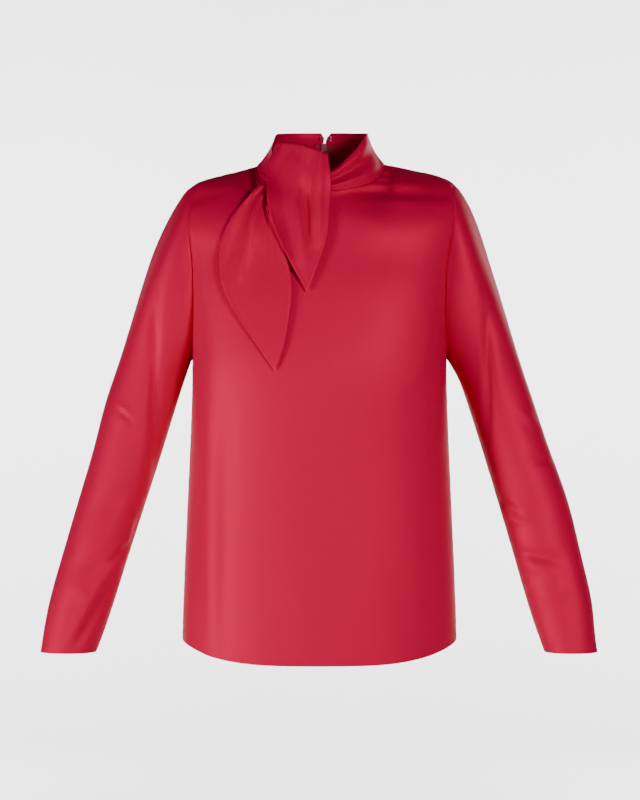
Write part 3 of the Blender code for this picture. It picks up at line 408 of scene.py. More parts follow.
COLLAR_ROLLS = [
    CollarRoll(0.84, 0.15, 0.0035), CollarRoll(0.54, 0.12, -0.0032), CollarRoll(0.25, 0.14, 0.0035),
]
DRAPE_FROM = -45.0
DRAPE_TO = 85.0
DRAPE_FADE = 40.0


# %% Rows of the collar
def back_opening(height):
    """Half the gap between the collar's two ends, at a share of its full height."""
    slit = SLIT_HALF_WIDTH * smooth_step((height - SLIT_FROM) / (SLIT_FULL - SLIT_FROM))
    notch = (NOTCH_HALF_WIDTH - SLIT_HALF_WIDTH) * smooth_step((height - NOTCH_FROM) / (1 - NOTCH_FROM))
    return slit + notch


def collar_shape(up, window):
    """How far the collar stands out from a straight wall, a share up it: hollow, or rolled in the drape."""
    rolls = sum(roll.rise * np.exp(-((up - roll.share) / roll.width) ** 2) for roll in COLLAR_ROLLS)
    rolls = rolls * smooth_step(up / COLLAR_ROLLS[-1].width)
    return rolls * window - COLLAR_WAIST * np.sin(math.pi * up) * (1 - window)


def collar(fineness):
    """The band round the neck, [row, column], from the neck seam up and round from back to back."""
    quarter = np.linspace(0, math.pi / 2, NECK_STEPS * fineness + 1)
    half = np.concatenate([quarter, math.pi - quarter[-2::-1]])
    turn = np.concatenate([-half[:0:-1], half])
    degrees = np.degrees(turn)
    side = np.sign(turn)
    base = neckline(np.abs(turn))
    base[turn < 0] = mirrored(base[turn < 0])
    cosine = np.cos(turn)
    top = np.stack([
        COLLAR_TOP_HALF_WIDTH * np.sin(turn) + COLLAR_SHIFT_X * np.sin(np.abs(turn)),
        (COLLAR_TOP_FRONT_Y * (1 + cosine) + COLLAR_TOP_BACK_Y * (1 - cosine)) / 2,
        COLLAR_TOP_SIDE_Z + (COLLAR_TOP_BACK_Z - COLLAR_TOP_SIDE_Z) * np.clip(-cosine, 0, 1)], axis=1)
    backness = smooth_step((np.abs(turn) - BACK_FROM) / (math.pi - BACK_FROM))
    edge = np.array(COLLAR_EDGE)
    share = spline(np.radians(edge[:, 0]), edge[:, 1:], turn, start=np.zeros(1), end=np.zeros(1))[:, 0]
    share = np.minimum(share, 1.0)
    window = smooth_step((degrees - DRAPE_FROM) / DRAPE_FADE) * smooth_step((DRAPE_TO - degrees) / DRAPE_FADE)
    rows = []
    for up in np.linspace(0, 1, COLLAR_STEPS * fineness + 1):
        height = up * share
        point = base + (top - base) * height[:, None]
        point[:, 0] += backness * (BACK_SHIFT_X * height + side * back_opening(height))
        outward = unit(np.stack([point[:, 0], point[:, 1] - NECK_MID_Y, 0 * turn], axis=1))
        rows.append(point + outward * collar_shape(up, window)[:, None])
    return np.stack(rows)


# %% [markdown]
# ## The tie ends
#
# Each tie end is laid on what is under it by casting straight down onto the front and the collar. A coarse
# net is laid first, as in the solids, so both lie alike, and a spline then draws it finely. The pleats start
# at the knot and fade down the cloth. Simulating the cloth would also work, but would lose the photo's folds.

# %% Sizes of the tie ends
TIE_ACROSS = 12
TIE_ALONG = 18
FOLD_STEPS = 5
TieStation = namedtuple("TieStation", "at outer_x outer_z inner_x inner_z lift")
TIE_LOWER = [
    TieStation(0.00, -0.0378, -0.0317, -0.0378, -0.0535, 0.0030),
    TieStation(0.10, -0.0712, -0.0214, -0.0648, -0.0548, 0.0045),
    TieStation(0.22, -0.0930, -0.0342, -0.0585, -0.0740, 0.0055),
    TieStation(0.36, -0.1186, -0.0701, -0.0450, -0.1080, 0.0060),
    TieStation(0.50, -0.1289, -0.1176, -0.0360, -0.1500, 0.0055),
    TieStation(0.66, -0.1186, -0.1689, -0.0395, -0.1990, 0.0050),
    TieStation(0.82, -0.0891, -0.2170, -0.0455, -0.2330, 0.0045),
    TieStation(1.00, -0.0575, -0.2631, -0.0552, -0.2610, 0.0035),
]
TIE_UPPER = [
    TieStation(0.00, -0.0600, 0.0300, 0.0120, 0.0110, 0.0060),
    TieStation(0.12, -0.0680, 0.0080, 0.0148, -0.0100, 0.0060),
    TieStation(0.26, -0.0694, -0.0190, 0.0144, -0.0330, 0.0055),
    TieStation(0.42, -0.0665, -0.0550, 0.0126, -0.0600, 0.0050),
    TieStation(0.60, -0.0513, -0.0965, 0.0092, -0.0930, 0.0050),
    TieStation(0.80, -0.0318, -0.1350, -0.0030, -0.1300, 0.0045),
    TieStation(1.00, -0.0172, -0.1620, -0.0148, -0.1610, 0.0035),
]
TIE_TOP_CROWN = 0.0050
TIE_LOOP_RADIUS = 0.0065
TIE_LOOP_HEIGHT = 0.9     # the fold's height as a share of its radius
TUCK_SIDE_SHARE = 0.8
LEAST_SLANT = 0.5
EVEN_ROUNDS = 2           # rounds of evening out, and passes that bridge hollows under a tie end
BRIDGE_PASSES = 3
BRIDGE_ROUNDS = 4
TIE_TUCK = 0.026
TIE_TUCK_STEPS = (0.35, 0.70, 1.00)
TIE_TUCK_OUT = 0.0015
TIE_CLEARANCE = 0.0036
TIE_ROOT_CLEARANCE = 0.0028
TIE_RISE_SHARE = 0.10
FEELER = 0.0035
COLLAR_LEAN = 0.30
Pleat = namedtuple("Pleat", "start_across end_across width rise last")
PLEATS_LOWER = [
    Pleat(0.06, 0.04, 0.10, 0.0020, 0.55),
    Pleat(0.22, 0.18, 0.09, -0.0032, 0.60),
    Pleat(0.42, 0.34, 0.11, 0.0035, 0.75),
    Pleat(0.66, 0.62, 0.14, -0.0030, 0.70),
]
PLEATS_UPPER = [
    Pleat(0.10, 0.15, 0.12, 0.0015, 0.60),
    Pleat(0.45, 0.52, 0.12, -0.0030, 0.60),
    Pleat(0.62, 0.66, 0.08, -0.0040, 0.85),
    Pleat(0.86, 0.86, 0.10, 0.0025, 0.90),
]


# %% Laying a tie end
def surface_tree(grids):
    """A search tree over the outer points of several grids."""
    corners = []
    faces = []
    for grid in grids:
        start = len(corners)
        rows, columns = grid.shape[:2]
        corners += [Vector(point) for point in grid.reshape(-1, 3)]
        for i in range(rows - 1):
            for j in range(columns - 1):
                a = start + i * columns + j
                faces.append((a, a + 1, a + columns + 1, a + columns))
    return BVHTree.FromPolygons(corners, faces)


def tie_end(stations, pleats, tree, crown, seated):
    """A tie end, [row, column], laid on what the tree holds, from its root to its tip."""
    table = np.array(stations)
    along_rows = np.linspace(0, 1, TIE_ALONG + 1)
    edges = spline(table[:, 0], table[:, 1:], along_rows)
    across = np.linspace(0, 1, TIE_ACROSS + 1)
    x = edges[:, None, 0] * (1 - across) + edges[:, None, 2] * across
    z = edges[:, None, 1] * (1 - across) + edges[:, None, 3] * across
    z = z + crown * (1 - along_rows[:, None]) ** 3 * np.sin(math.pi * across)
    depth = np.full_like(x, np.nan)
    straight = np.zeros_like(x)
    slant = np.ones_like(x)
    for i in range(x.shape[0] - 1, -1, -1):
        for j in range(x.shape[1]):
            for dx, dz in ((0, 0), (FEELER, 0), (-FEELER, 0), (0, FEELER), (0, -FEELER)):
                ray = Vector((x[i, j] + dx, -1.0, z[i, j] + dz))
                hit = tree.ray_cast(ray, Vector((0.0, 1.0, 0.0)))
                if hit[0] is not None and hit[0].y < NECK_MID_Y:
                    depth[i, j] = np.fmin(depth[i, j], hit[0].y)
                    if dx == dz:
                        straight[i, j] = hit[0].y
                        slant[i, j] = abs(hit[1].y)
            if np.isnan(depth[i, j]):
                depth[i, j] = depth[i + 1, j] + COLLAR_LEAN * (z[i, j] - z[i + 1, j])
                slant[i, j] = slant[i + 1, j]
    slant = np.clip(blurred(slant, EVEN_ROUNDS), LEAST_SLANT, 1.0)
    smooth = depth
    for _ in range(BRIDGE_PASSES):
        smooth = np.minimum(blurred(smooth, BRIDGE_ROUNDS), depth)
    risen = smooth_step(along_rows[:, None] / TIE_RISE_SHARE)
    y = blurred(smooth, EVEN_ROUNDS) - edges[:, None, 4] / slant
    for pleat in pleats:
        middle = pleat.start_across + (pleat.end_across - pleat.start_across) * along_rows[:, None]
        fade = smooth_step((pleat.last - along_rows[:, None]) / pleat.last)
        y = y - pleat.rise * fade * np.exp(-((across - middle) / pleat.width) ** 2)
    y = np.minimum(y, depth - TIE_CLEARANCE / slant)
    if seated:
        y = y * risen + (straight - TIE_ROOT_CLEARANCE / slant) * (1 - risen)
    return np.stack([x, y, z], axis=-1)


def tucked_over(grid):
    """Rows that carry the tie end's top over its fold and down inside the neck."""
    top = grid[0]
    inward = -unit(np.stack([top[:, 0] * TUCK_SIDE_SHARE, top[:, 1] - NECK_MID_Y, 0 * top[:, 0]], axis=1))
    rows = []
    for turn in np.linspace(0, math.pi, FOLD_STEPS + 1)[1:]:
        over = TIE_LOOP_RADIUS * (1 - math.cos(turn))
        up = TIE_LOOP_RADIUS * math.sin(turn) * TIE_LOOP_HEIGHT
        rows.append(top + inward * over + np.array([0, 0, up]))
    for drop in TIE_TUCK_STEPS:
        rows.append(rows[FOLD_STEPS - 1] + np.array([0, 0, -TIE_TUCK * drop]) - inward * TIE_TUCK_OUT * drop)
    return np.concatenate([np.stack(rows[::-1]), grid])


def refined(grid, fineness):
    """The same net of points, drawn more finely both ways by splines."""
    rows, columns = grid.shape[:2]
    down = np.linspace(0, rows - 1, (rows - 1) * fineness + 1)
    across = np.linspace(0, columns - 1, (columns - 1) * fineness + 1)
    finer = spline(np.arange(rows), grid, down)
    return spline(np.arange(columns), finer.transpose(1, 0, 2), across).transpose(1, 0, 2)


# %% [markdown]
# ## Creases and seams
#
# Satin shows every crease, so the main ones are placed where the photo has them: streaks that fan
# out from the neck seam over the wearer's left shoulder, long troughs down the sleeves, short slanting ones
# at the elbows, and broad soft folds down the body. The hidden sides get similar ones. Each crease is a soft
# ridge or trough between two points, with a weaker twin beside it, as cloth pushed up in one place sinks next
# to it. Beside a seam the cloth puffs up slightly on both sides, and small puckers run along the stitches.

# %% Tables of creases
Crease = namedtuple("Crease", "x0 y0 z0 x1 y1 z1 width rise")
BODY_CREASES = [
    Crease(-0.100, -0.050, -0.020, -0.150, -0.035, -0.028, 0.0090, 0.0015),
    Crease(-0.150, -0.100, -0.190, -0.135, -0.118, -0.330, 0.0160, 0.0020),
    Crease(0.150, -0.098, -0.190, 0.140, -0.112, -0.300, 0.0140, 0.0018),
]
SLEEVE_CREASES = [
    Crease(0.2160, -0.046, -0.160, 0.2200, -0.047, -0.320, 0.0140, -0.0025),
    Crease(0.2450, -0.052, -0.420, 0.2900, -0.054, -0.445, 0.0120, -0.0022),
    Crease(0.2680, -0.057, -0.500, 0.3150, -0.056, -0.520, 0.0120, -0.0022),
    Crease(0.2800, -0.060, -0.560, 0.3220, -0.062, -0.545, 0.0100, 0.0018),
    Crease(0.2700, 0.040, -0.400, 0.2950, 0.034, -0.430, 0.0140, -0.0025),
]
# The finer creases, seen from the front or from behind: ends, width and rise
Fold = namedtuple("Fold", "x0 z0 x1 z1 width rise")
FRONT_FOLDS = [
    Fold(0.0780, 0.0010, 0.1080, -0.0060, 0.0034, 0.0024),
    Fold(0.0660, -0.0110, 0.1120, -0.0130, 0.0036, 0.0030),
    Fold(0.0560, -0.0205, 0.1300, -0.0215, 0.0042, 0.0032),
    Fold(0.0400, -0.0310, 0.1700, -0.0340, 0.0065, -0.0028),
    Fold(-0.0850, -0.0120, -0.0700, -0.0300, 0.0050, 0.0014),
    Fold(-0.1310, -0.0280, -0.1790, -0.0440, 0.0080, -0.0020),
    Fold(-0.1400, -0.2600, -0.1370, -0.6350, 0.0130, 0.0030),
    Fold(-0.1200, -0.3300, -0.1240, -0.6150, 0.0090, -0.0020),
    Fold(0.0900, -0.4900, 0.1150, -0.6250, 0.0240, -0.0014),
    Fold(-0.0300, -0.4600, 0.0050, -0.6300, 0.0280, 0.0010),
    Fold(0.1550, -0.2550, 0.1250, -0.2950, 0.0090, -0.0014),
]
BACK_FOLDS = [
    Fold(0.0900, -0.2600, 0.0700, -0.5200, 0.0180, 0.0024),
    Fold(-0.0950, -0.2800, -0.0780, -0.5600, 0.0200, 0.0022),
    Fold(0.1300, -0.1500, 0.0900, -0.2300, 0.0110, 0.0018),
    Fold(-0.1320, -0.1600, -0.0950, -0.2500, 0.0100, 0.0020),
    Fold(0.1450, -0.0700, 0.0700, -0.0500, 0.0080, 0.0014),
    Fold(-0.1450, -0.0650, -0.0650, -0.0500, 0.0090, 0.0013),
    Fold(0.0350, -0.4300, 0.1200, -0.4700, 0.0140, -0.0018),
    Fold(-0.0300, -0.4450, -0.1250, -0.4600, 0.0130, -0.0018),
    Fold(0.1200, -0.4000, 0.1350, -0.6200, 0.0180, 0.0016),
]
SLEEVE_FOLDS = {
    "sleeve_right": [
        Fold(-0.2150, -0.1600, -0.2140, -0.3950, 0.0060, -0.0030),
        Fold(-0.2290, -0.2800, -0.2330, -0.4200, 0.0080, 0.0014),
        Fold(-0.2590, -0.3160, -0.2450, -0.3290, 0.0030, -0.0018),
        Fold(-0.2620, -0.3060, -0.2480, -0.3190, 0.0040, 0.0012),
        Fold(-0.2370, -0.4560, -0.2440, -0.4830, 0.0036, -0.0022),
        Fold(-0.2440, -0.4860, -0.2680, -0.5100, 0.0044, -0.0028),
        Fold(-0.2550, -0.5060, -0.2780, -0.5320, 0.0060, 0.0016),
        Fold(-0.2710, -0.5450, -0.3150, -0.6180, 0.0068, -0.0032),
        Fold(-0.2950, -0.5500, -0.3200, -0.6060, 0.0070, 0.0014),
    ],
    "sleeve_left": [
        Fold(0.2190, -0.1950, 0.2200, -0.3450, 0.0050, -0.0028),
        Fold(0.2320, -0.2100, 0.2340, -0.3300, 0.0090, 0.0014),
        Fold(0.2630, -0.3160, 0.2850, -0.3350, 0.0060, 0.0018),
        Fold(0.2380, -0.4330, 0.2600, -0.4490, 0.0050, -0.0028),
        Fold(0.2360, -0.4560, 0.2670, -0.4600, 0.0045, 0.0016),
        Fold(0.2600, -0.4990, 0.3100, -0.5090, 0.0055, -0.0028),
        Fold(0.2680, -0.5180, 0.3050, -0.5240, 0.0060, 0.0014),
        Fold(0.2760, -0.3820, 0.3050, -0.3760, 0.0060, -0.0016),
        Fold(0.3310, -0.5080, 0.3480, -0.6120, 0.0090, 0.0016),
    ],
}
TIE_FOLDS = {
    "tie_lower": [
        Fold(-0.0920, -0.0430, -0.1180, -0.1250, 0.0060, -0.0020),
        Fold(-0.0810, -0.0400, -0.0980, -0.1400, 0.0060, 0.0044),
        Fold(-0.0670, -0.0450, -0.0660, -0.1400, 0.0070, -0.0020),
        Fold(-0.0735, -0.0270, -0.0890, -0.0350, 0.0034, 0.0018),
    ],
    "tie_upper": [
        Fold(-0.0150, -0.0400, -0.0130, -0.1100, 0.0055, -0.0020),
        Fold(-0.0010, 0.0050, -0.0030, -0.0950, 0.0070, 0.0054),
        Fold(-0.0330, 0.0000, -0.0270, -0.1150, 0.0100, 0.0038),
    ],
}
SLEEVE_BACK_FOLDS = [
    Fold(0.2300, -0.3700, 0.2850, -0.3900, 0.0090, -0.0024),
    Fold(0.2400, -0.4100, 0.2950, -0.4250, 0.0080, -0.0026),
    Fold(0.2500, -0.4500, 0.3050, -0.4500, 0.0080, 0.0020),
    Fold(0.2150, -0.2000, 0.2300, -0.3300, 0.0100, -0.0022),
    Fold(0.2900, -0.5600, 0.3300, -0.5900, 0.0080, -0.0020),
]
SEAM_PUFF = 0.0008        # rise beside a seam, and how far from the stitches it is highest
SEAM_PUFF_WIDTH = 0.0022
RIM_PUFF = 0.0006         # the turned edge of a tie end is fuller than the cloth beside it
RIM_WIDTH = 0.0022
TIE_SOFTENING = 24        # rounds that even out the fine net of a tie end
PUCKER = 0.00025
PUCKER_SPACING = 0.011
PUCKER_REACH = 0.010
TWIN_SHARE = 0.35         # how strong a crease's twin is, and how many widths away
TWIN_AWAY = 1.9


# %% Creasing a grid
def normals_of(grid, closed, sign):
    rows = np.gradient(grid, axis=0)
    if closed:
        columns = (np.roll(grid, -1, axis=1) - np.roll(grid, 1, axis=1)) / 2
    else:
        columns = np.gradient(grid, axis=1)
    return sign * unit(np.cross(columns, rows))


def border_distance(grid, closed):
    """Distance of each point from the first and last row and the first and last column."""
    down = np.concatenate([np.zeros((1, grid.shape[1])),
                           np.cumsum(np.linalg.norm(np.diff(grid, axis=0), axis=-1), axis=0)])
    if closed:
        far = np.full(grid.shape[:2], 1.0)
        return {"first_row": down, "last_row": down[-1] - down, "first_column": far, "last_column": far}
    over = np.concatenate([np.zeros((grid.shape[0], 1)),
                           np.cumsum(np.linalg.norm(np.diff(grid, axis=1), axis=-1), axis=1)], axis=1)
    return {"first_row": down, "last_row": down[-1] - down,
            "first_column": over, "last_column": over[:, -1:] - over}


def large_creases(grid, creases):
    """Rise at each point from the creases that the solids have too."""
    total = np.zeros(grid.shape[:2])
    for crease in creases:
        start = np.array([crease.x0, crease.y0, crease.z0])
        run = np.array([crease.x1, crease.y1, crease.z1]) - start
        share = np.clip(((grid - start) @ run) / (run @ run), 0, 1)
        far = np.linalg.norm(grid - start - share[..., None] * run, axis=-1)
        total += crease.rise * (0.35 + 0.65 * np.sin(math.pi * share)) * np.exp(-(far / crease.width) ** 2)
    return total


def fine_folds(grid, facing, folds, towards):
    """Rise at each point from folds drawn on the side that faces the front (-1) or the back (1)."""
    total = np.zeros(grid.shape[:2])
    seen = smooth_step(towards * facing[..., 1] * 2.5 + 0.2)
    for fold in folds:
        start = np.array([fold.x0, fold.z0])
        run = np.array([fold.x1, fold.z1]) - start
        length = np.linalg.norm(run)
        offset = grid[..., [0, 2]] - start
        share = (offset @ run) / length ** 2
        side = (offset[..., 0] * run[1] - offset[..., 1] * run[0]) / length
        beyond = np.maximum(np.maximum(-share, share - 1), 0) * length
        taper = np.exp(-(beyond / (1.5 * fold.width)) ** 2) * (0.45 + 0.55 * np.sin(math.pi * np.clip(share, 0, 1)))
        twin = TWIN_SHARE * np.exp(-((side - TWIN_AWAY * fold.width) / fold.width) ** 2)
        total += fold.rise * taper * (np.exp(-(side / fold.width) ** 2) - twin)
    return total * seen


def seam_relief(grid, closed, seams):
    """Puff and puckers beside the seams, and how free each point is to move."""
    far = border_distance(grid, closed)
    nearest = np.min([far[seam] for seam in seams], axis=0)
    puff = SEAM_PUFF * (nearest / SEAM_PUFF_WIDTH) * np.exp(1 - nearest / SEAM_PUFF_WIDTH)
    run = grid[..., 2] + 0.6 * grid[..., 0] * (1 - smooth_step(np.abs(grid[..., 2]) / 0.10))
    wave = np.sin(2 * math.pi * run / PUCKER_SPACING + 2.4 * np.sin(2 * math.pi * run / (4.3 * PUCKER_SPACING)))
    pucker = PUCKER * wave * np.clip(nearest / SEAM_PUFF_WIDTH, 0, 1) * np.exp(-nearest / PUCKER_REACH)
    free = 1 - np.exp(-(nearest / 0.003) ** 2)
    return puff + pucker, free


# %% [markdown]
# ## From grid to cloth
#
# Each piece of cloth becomes a thin closed shell: the outer skin, an inner skin a cloth's thickness inside it
# and a rim that joins them. Satin is about a quarter of a millimetre thick. The shell is drawn at half a
# millimetre for single cloth and a little over one for the double tie ends and collar, so that edges catch
# the light as a folded edge does. The texture coordinates are in metres along and across the cloth, so that
# patterns keep their real size.

# %% Making a shell
SINGLE = 0.0005
DOUBLE = 0.0014
EDGE_ROUNDING = 0.30


def add_mesh(name, points, quads, uvs=None):
    mesh = bpy.data.meshes.new(name)
    mesh.from_pydata([tuple(p) for p in points], [], [tuple(q) for q in quads])
    if uvs is not None:
        layer = mesh.uv_layers.new(name="cloth")
        layer.data.foreach_set("uv", uvs.astype(np.float32).ravel())
    mesh.shade_smooth()
    made = bpy.data.objects.new(name, mesh)
    bpy.context.scene.collection.objects.link(made)
    return made


def cloth_shell(name, grid, closed, sign, thickness, rounded=()):
    """A closed thin shell with its outer skin on the grid, its free edges slightly rounded."""
    facing = normals_of(grid, closed, sign)
    outer = grid.copy()
    inner = grid - facing * thickness
    free = {"first_row": (0, slice(None)), "last_row": (-1, slice(None)),
            "first_column": (slice(None), 0), "last_column": (slice(None), -1)}
    for border in rounded:
        where = free[border]
        outer[where] -= facing[where] * thickness * EDGE_ROUNDING
        inner[where] += facing[where] * thickness * EDGE_ROUNDING
    rows, columns = grid.shape[:2]
    size = rows * columns
    across = columns if closed else columns - 1
    i, j = np.meshgrid(np.arange(rows - 1), np.arange(across), indexing="ij")
    a = i * columns + j
    b = i * columns + (j + 1) % columns
    c = (i + 1) * columns + (j + 1) % columns
    d = (i + 1) * columns + j
    skin = np.stack([a, b, c, d], axis=-1).reshape(-1, 4)
    quads = [skin, skin[:, ::-1] + size]
    j = np.arange(across)
    low = np.stack([j, j + size, (j + 1) % columns + size, (j + 1) % columns], axis=-1)
    top = low + (rows - 1) * columns
    quads += [low, top[:, ::-1]]
    if not closed:
        i = np.arange(rows - 1) * columns
        start = np.stack([i, i + columns, i + columns + size, i + size], axis=-1)
        quads += [start, (start + columns - 1)[:, ::-1]]
    quads = np.concatenate(quads)
    if sign < 0:
        quads = quads[:, ::-1]
    width = np.mean([along(row)[-1] for row in grid[:: max(1, rows // 8)]])
    height = np.mean([along(grid[:, k])[-1] for k in range(0, columns, max(1, columns // 8))])
    row, column = np.divmod(quads % size, columns)
    last = column == columns - 1
    column = np.where(closed & last.any(axis=1, keepdims=True) & (column == 0), columns, column)
    uvs = np.stack([column * width / across, row * height / (rows - 1)], axis=-1).reshape(-1, 2)
    points = np.concatenate([outer.reshape(-1, 3), inner.reshape(-1, 3)])
    made = add_mesh(name, points, quads, uvs)
    made.data.set_sharp_from_angle(angle=math.radians(60))
    return made


# %% [markdown]
# ## Putting the cloth together
#
# The coarse nets come first, because the tie ends are laid on them. Then each piece is drawn finely, creased
# along its normals and made into a shell. Seam edges stay where they are, so neighbours still meet.

# %% The nets and the creased pieces
coarse_half = half_panel(back=False, fineness=1)
coarse_front = np.concatenate([mirrored(coarse_half)[:, :0:-1], coarse_half], axis=1)
coarse_facing = normals_of(coarse_front, False, 1)
free = np.ones(coarse_front.shape[:2])
free[0] = free[-1] = free[:, 0] = free[:, -1] = 0
coarse_front = coarse_front + coarse_facing * (free * large_creases(coarse_front, BODY_CREASES))[..., None]
coarse_collar = collar(1)
lower_net = tie_end(TIE_LOWER, PLEATS_LOWER, surface_tree([coarse_front, coarse_collar]), 0.0, seated=True)
upper_net = tie_end(TIE_UPPER, PLEATS_UPPER, surface_tree([coarse_front, coarse_collar, lower_net]),
                    TIE_TOP_CROWN, seated=False)

Piece = namedtuple("Piece", "grid closed sign seams large front_folds back_folds thickness rounded")
front_grid = tilted(corner_softened(np.concatenate([mirrored(front_half)[:, :0:-1], front_half], axis=1)))
ALL_SEAMS = ("last_row", "first_column", "last_column")
COLLAR_FOLDS = []
pieces = {
    "front": Piece(front_grid, False, 1, ALL_SEAMS, BODY_CREASES, FRONT_FOLDS, [], SINGLE, ("first_row",)),
    "back_left": Piece(tilted(corner_softened(back_half)[:, ::-1]), False, 1, ALL_SEAMS, [], [], BACK_FOLDS, SINGLE, ("first_row",)),
    "back_right": Piece(tilted(mirrored(corner_softened(back_half))), False, 1, ALL_SEAMS, [], [], BACK_FOLDS, SINGLE, ("first_row",)),
    "collar": Piece(tilted(collar(FINE)), False, 1, ("first_row",), [], COLLAR_FOLDS, [], DOUBLE,
                    ("last_row", "first_column", "last_column")),
}
for name, side in SIDE_OF_SLEEVE.items():
    grid = tilted(sleeve(name, front_half, back_half, FINE))
    large = [crease._replace(x0=side * crease.x0, x1=side * crease.x1) for crease in SLEEVE_CREASES]
    behind = [fold._replace(x0=side * fold.x0, x1=side * fold.x1) for fold in SLEEVE_BACK_FOLDS]
    pieces[name] = Piece(grid, True, -side, ("first_row",), large, SLEEVE_FOLDS[name], behind, SINGLE, ("last_row",))

cloth = {}
for name, piece in pieces.items():
    facing = normals_of(piece.grid, piece.closed, piece.sign)
    relief, free = seam_relief(piece.grid, piece.closed, piece.seams)
    rise = large_creases(piece.grid, piece.large)
    rise = rise + fine_folds(piece.grid, facing, piece.front_folds, -1)
    rise = rise + fine_folds(piece.grid, facing, piece.back_folds, 1)
    moved = piece.grid + facing * (relief + rise * free)[..., None]
    cloth[name] = cloth_shell(name + "_cloth", moved, piece.closed, piece.sign, piece.thickness, piece.rounded)
for name, net in (("tie_lower", lower_net), ("tie_upper", tucked_over(upper_net))):
    grid = tilted(refined(net, FINE))
    grid[..., 1] = blurred(grid[..., 1], TIE_SOFTENING)
    facing = normals_of(grid, False, -1)
    far = border_distance(grid, False)
    edge = np.minimum(far["first_column"], far["last_column"])
    rim = RIM_PUFF * np.exp(-((edge - RIM_WIDTH) / RIM_WIDTH) ** 2)
    inner_share = smooth_step(edge / (3 * RIM_WIDTH))
    grid = grid + facing * (rim + fine_folds(grid, facing, TIE_FOLDS[name], -1) * inner_share)[..., None]
    cloth[name] = cloth_shell(name + "_cloth", grid, False, -1, DOUBLE,
                              ("first_row", "last_row", "first_column", "last_column"))
for name, made in cloth.items():
    print(name, len(made.data.polygons), "faces")

# %% [markdown]
# ## Satin
#
# Polyester satin is woven so that long glossy threads lie on its face. That gives a broad, soft, coloured
# shine that is stretched across the threads, so the shader has an anisotropic highlight, tinted by the dye,
# over a deep red. The weave itself is finer than a tenth of a millimetre. It is drawn here as a faint bump of
# threads 0.4 mm wide, coarser than life, and a slow waviness 30 mm long breaks the shine up as in real cloth.


# %% Building materials
def linear(code):
    """A colour written as in a paint chart, turned into the linear values a shader works with."""
    values = [int(code[k:k + 2], 16) / 255 for k in (0, 2, 4)]
    return (*[v / 12.92 if v <= 0.04045 else ((v + 0.055) / 1.055) ** 2.4 for v in values], 1.0)


def add_node(tree, kind, settings=None, links=None):
    """One node with its settings and the sockets that feed it."""
    node = tree.nodes.new(kind)
    for key, value in (settings or {}).items():
        if key in node.inputs.keys():
            node.inputs[key].default_value = value
        else:
            setattr(node, key, value)
    for key, source in (links or {}).items():
        tree.links.new(source, node.inputs[key])
    return node


def new_material(name):
    made = bpy.data.materials.new(name)
    made.use_nodes = True
    made.node_tree.nodes.clear()
    return made, made.node_tree


def satin(name, color, shine):
    made, tree = new_material(name)
    place = add_node(tree, "ShaderNodeTexCoord")
    threads = add_node(tree, "ShaderNodeTexWave", {"Scale": 1 / 0.0004 / 6.3, "Distortion": 0.6,
                                                   "bands_direction": "Y"}, {"Vector": place.outputs["UV"]})
    waves = add_node(tree, "ShaderNodeTexNoise", {"Scale": 1 / 0.030, "Detail": 1.0, "Roughness": 0.4},
                     {"Vector": place.outputs["Object"]})
    weave = add_node(tree, "ShaderNodeBump", {"Strength": 0.04, "Distance": 0.00005},
                     {"Height": threads.outputs["Fac"]})
    slow = add_node(tree, "ShaderNodeBump", {"Strength": 0.10, "Distance": 0.002},
                    {"Height": waves.outputs["Fac"], "Normal": weave.outputs["Normal"]})
    grain = add_node(tree, "ShaderNodeTangent", {"direction_type": "UV_MAP", "uv_map": "cloth"})
    shader = add_node(tree, "ShaderNodeBsdfPrincipled", {
        "Base Color": linear(color), "Metallic": 0.25, "Roughness": 0.58, "IOR": 1.45, "Specular IOR Level": 0.5,
        "Specular Tint": linear(shine), "Anisotropic": 0.3},
        {"Normal": slow.outputs["Normal"], "Tangent": grain.outputs["Tangent"]})
    add_node(tree, "ShaderNodeOutputMaterial", links={"Surface": shader.outputs["BSDF"]})
    return made


red_satin = satin("red_satin", "C80C40", "D0304C")
for name, made in cloth.items():
    made.data.materials.append(red_satin)
    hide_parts(name)
    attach(made, BODY)

# %% [markdown]
# ## Zip, slider, hook and eye
#
# The zip closes the centre back. Its tapes are woven polyester in a narrow rib, its coil is nylon, and the
# slider and pull tab are die-cast zinc, painted to match. The hook and eye are bent from nickel-plated wire.
# Each finish varies a little over the surface, as dye, paint and plating do. The coil's teeth are real ones,
# 1.2 mm apart, taken in turn from either side, and set along the line half way between the tapes.


# %% Finishes with a little variation
def varied(name, color, other, grain, roughness, metallic, relief, ribs=0.0):
    """A finish that drifts between two colours over patches of a given size, with a fine relief."""
    made, tree = new_material(name)
    place = add_node(tree, "ShaderNodeTexCoord").outputs["Object"]
    patches = add_node(tree, "ShaderNodeTexNoise", {"Scale": 1 / grain, "Detail": 3.0}, {"Vector": place})
    mixed = add_node(tree, "ShaderNodeMix", {"data_type": "RGBA"}, {"Factor": patches.outputs["Fac"]})
    mixed.inputs["A"].default_value = linear(color)
    mixed.inputs["B"].default_value = linear(other)
    height = patches.outputs["Fac"]
    if ribs:
        height = add_node(tree, "ShaderNodeTexWave", {"Scale": 1 / ribs / 6.3, "bands_direction": "Z"},
                          {"Vector": place}).outputs["Fac"]
    bump = add_node(tree, "ShaderNodeBump", {"Strength": 0.4, "Distance": relief}, {"Height": height})
    shader = add_node(tree, "ShaderNodeBsdfPrincipled", {"Roughness": roughness, "Metallic": metallic},
                      {"Base Color": mixed.outputs["Result"], "Normal": bump.outputs["Normal"]})
    add_node(tree, "ShaderNodeOutputMaterial", links={"Surface": shader.outputs["BSDF"]})
    return made


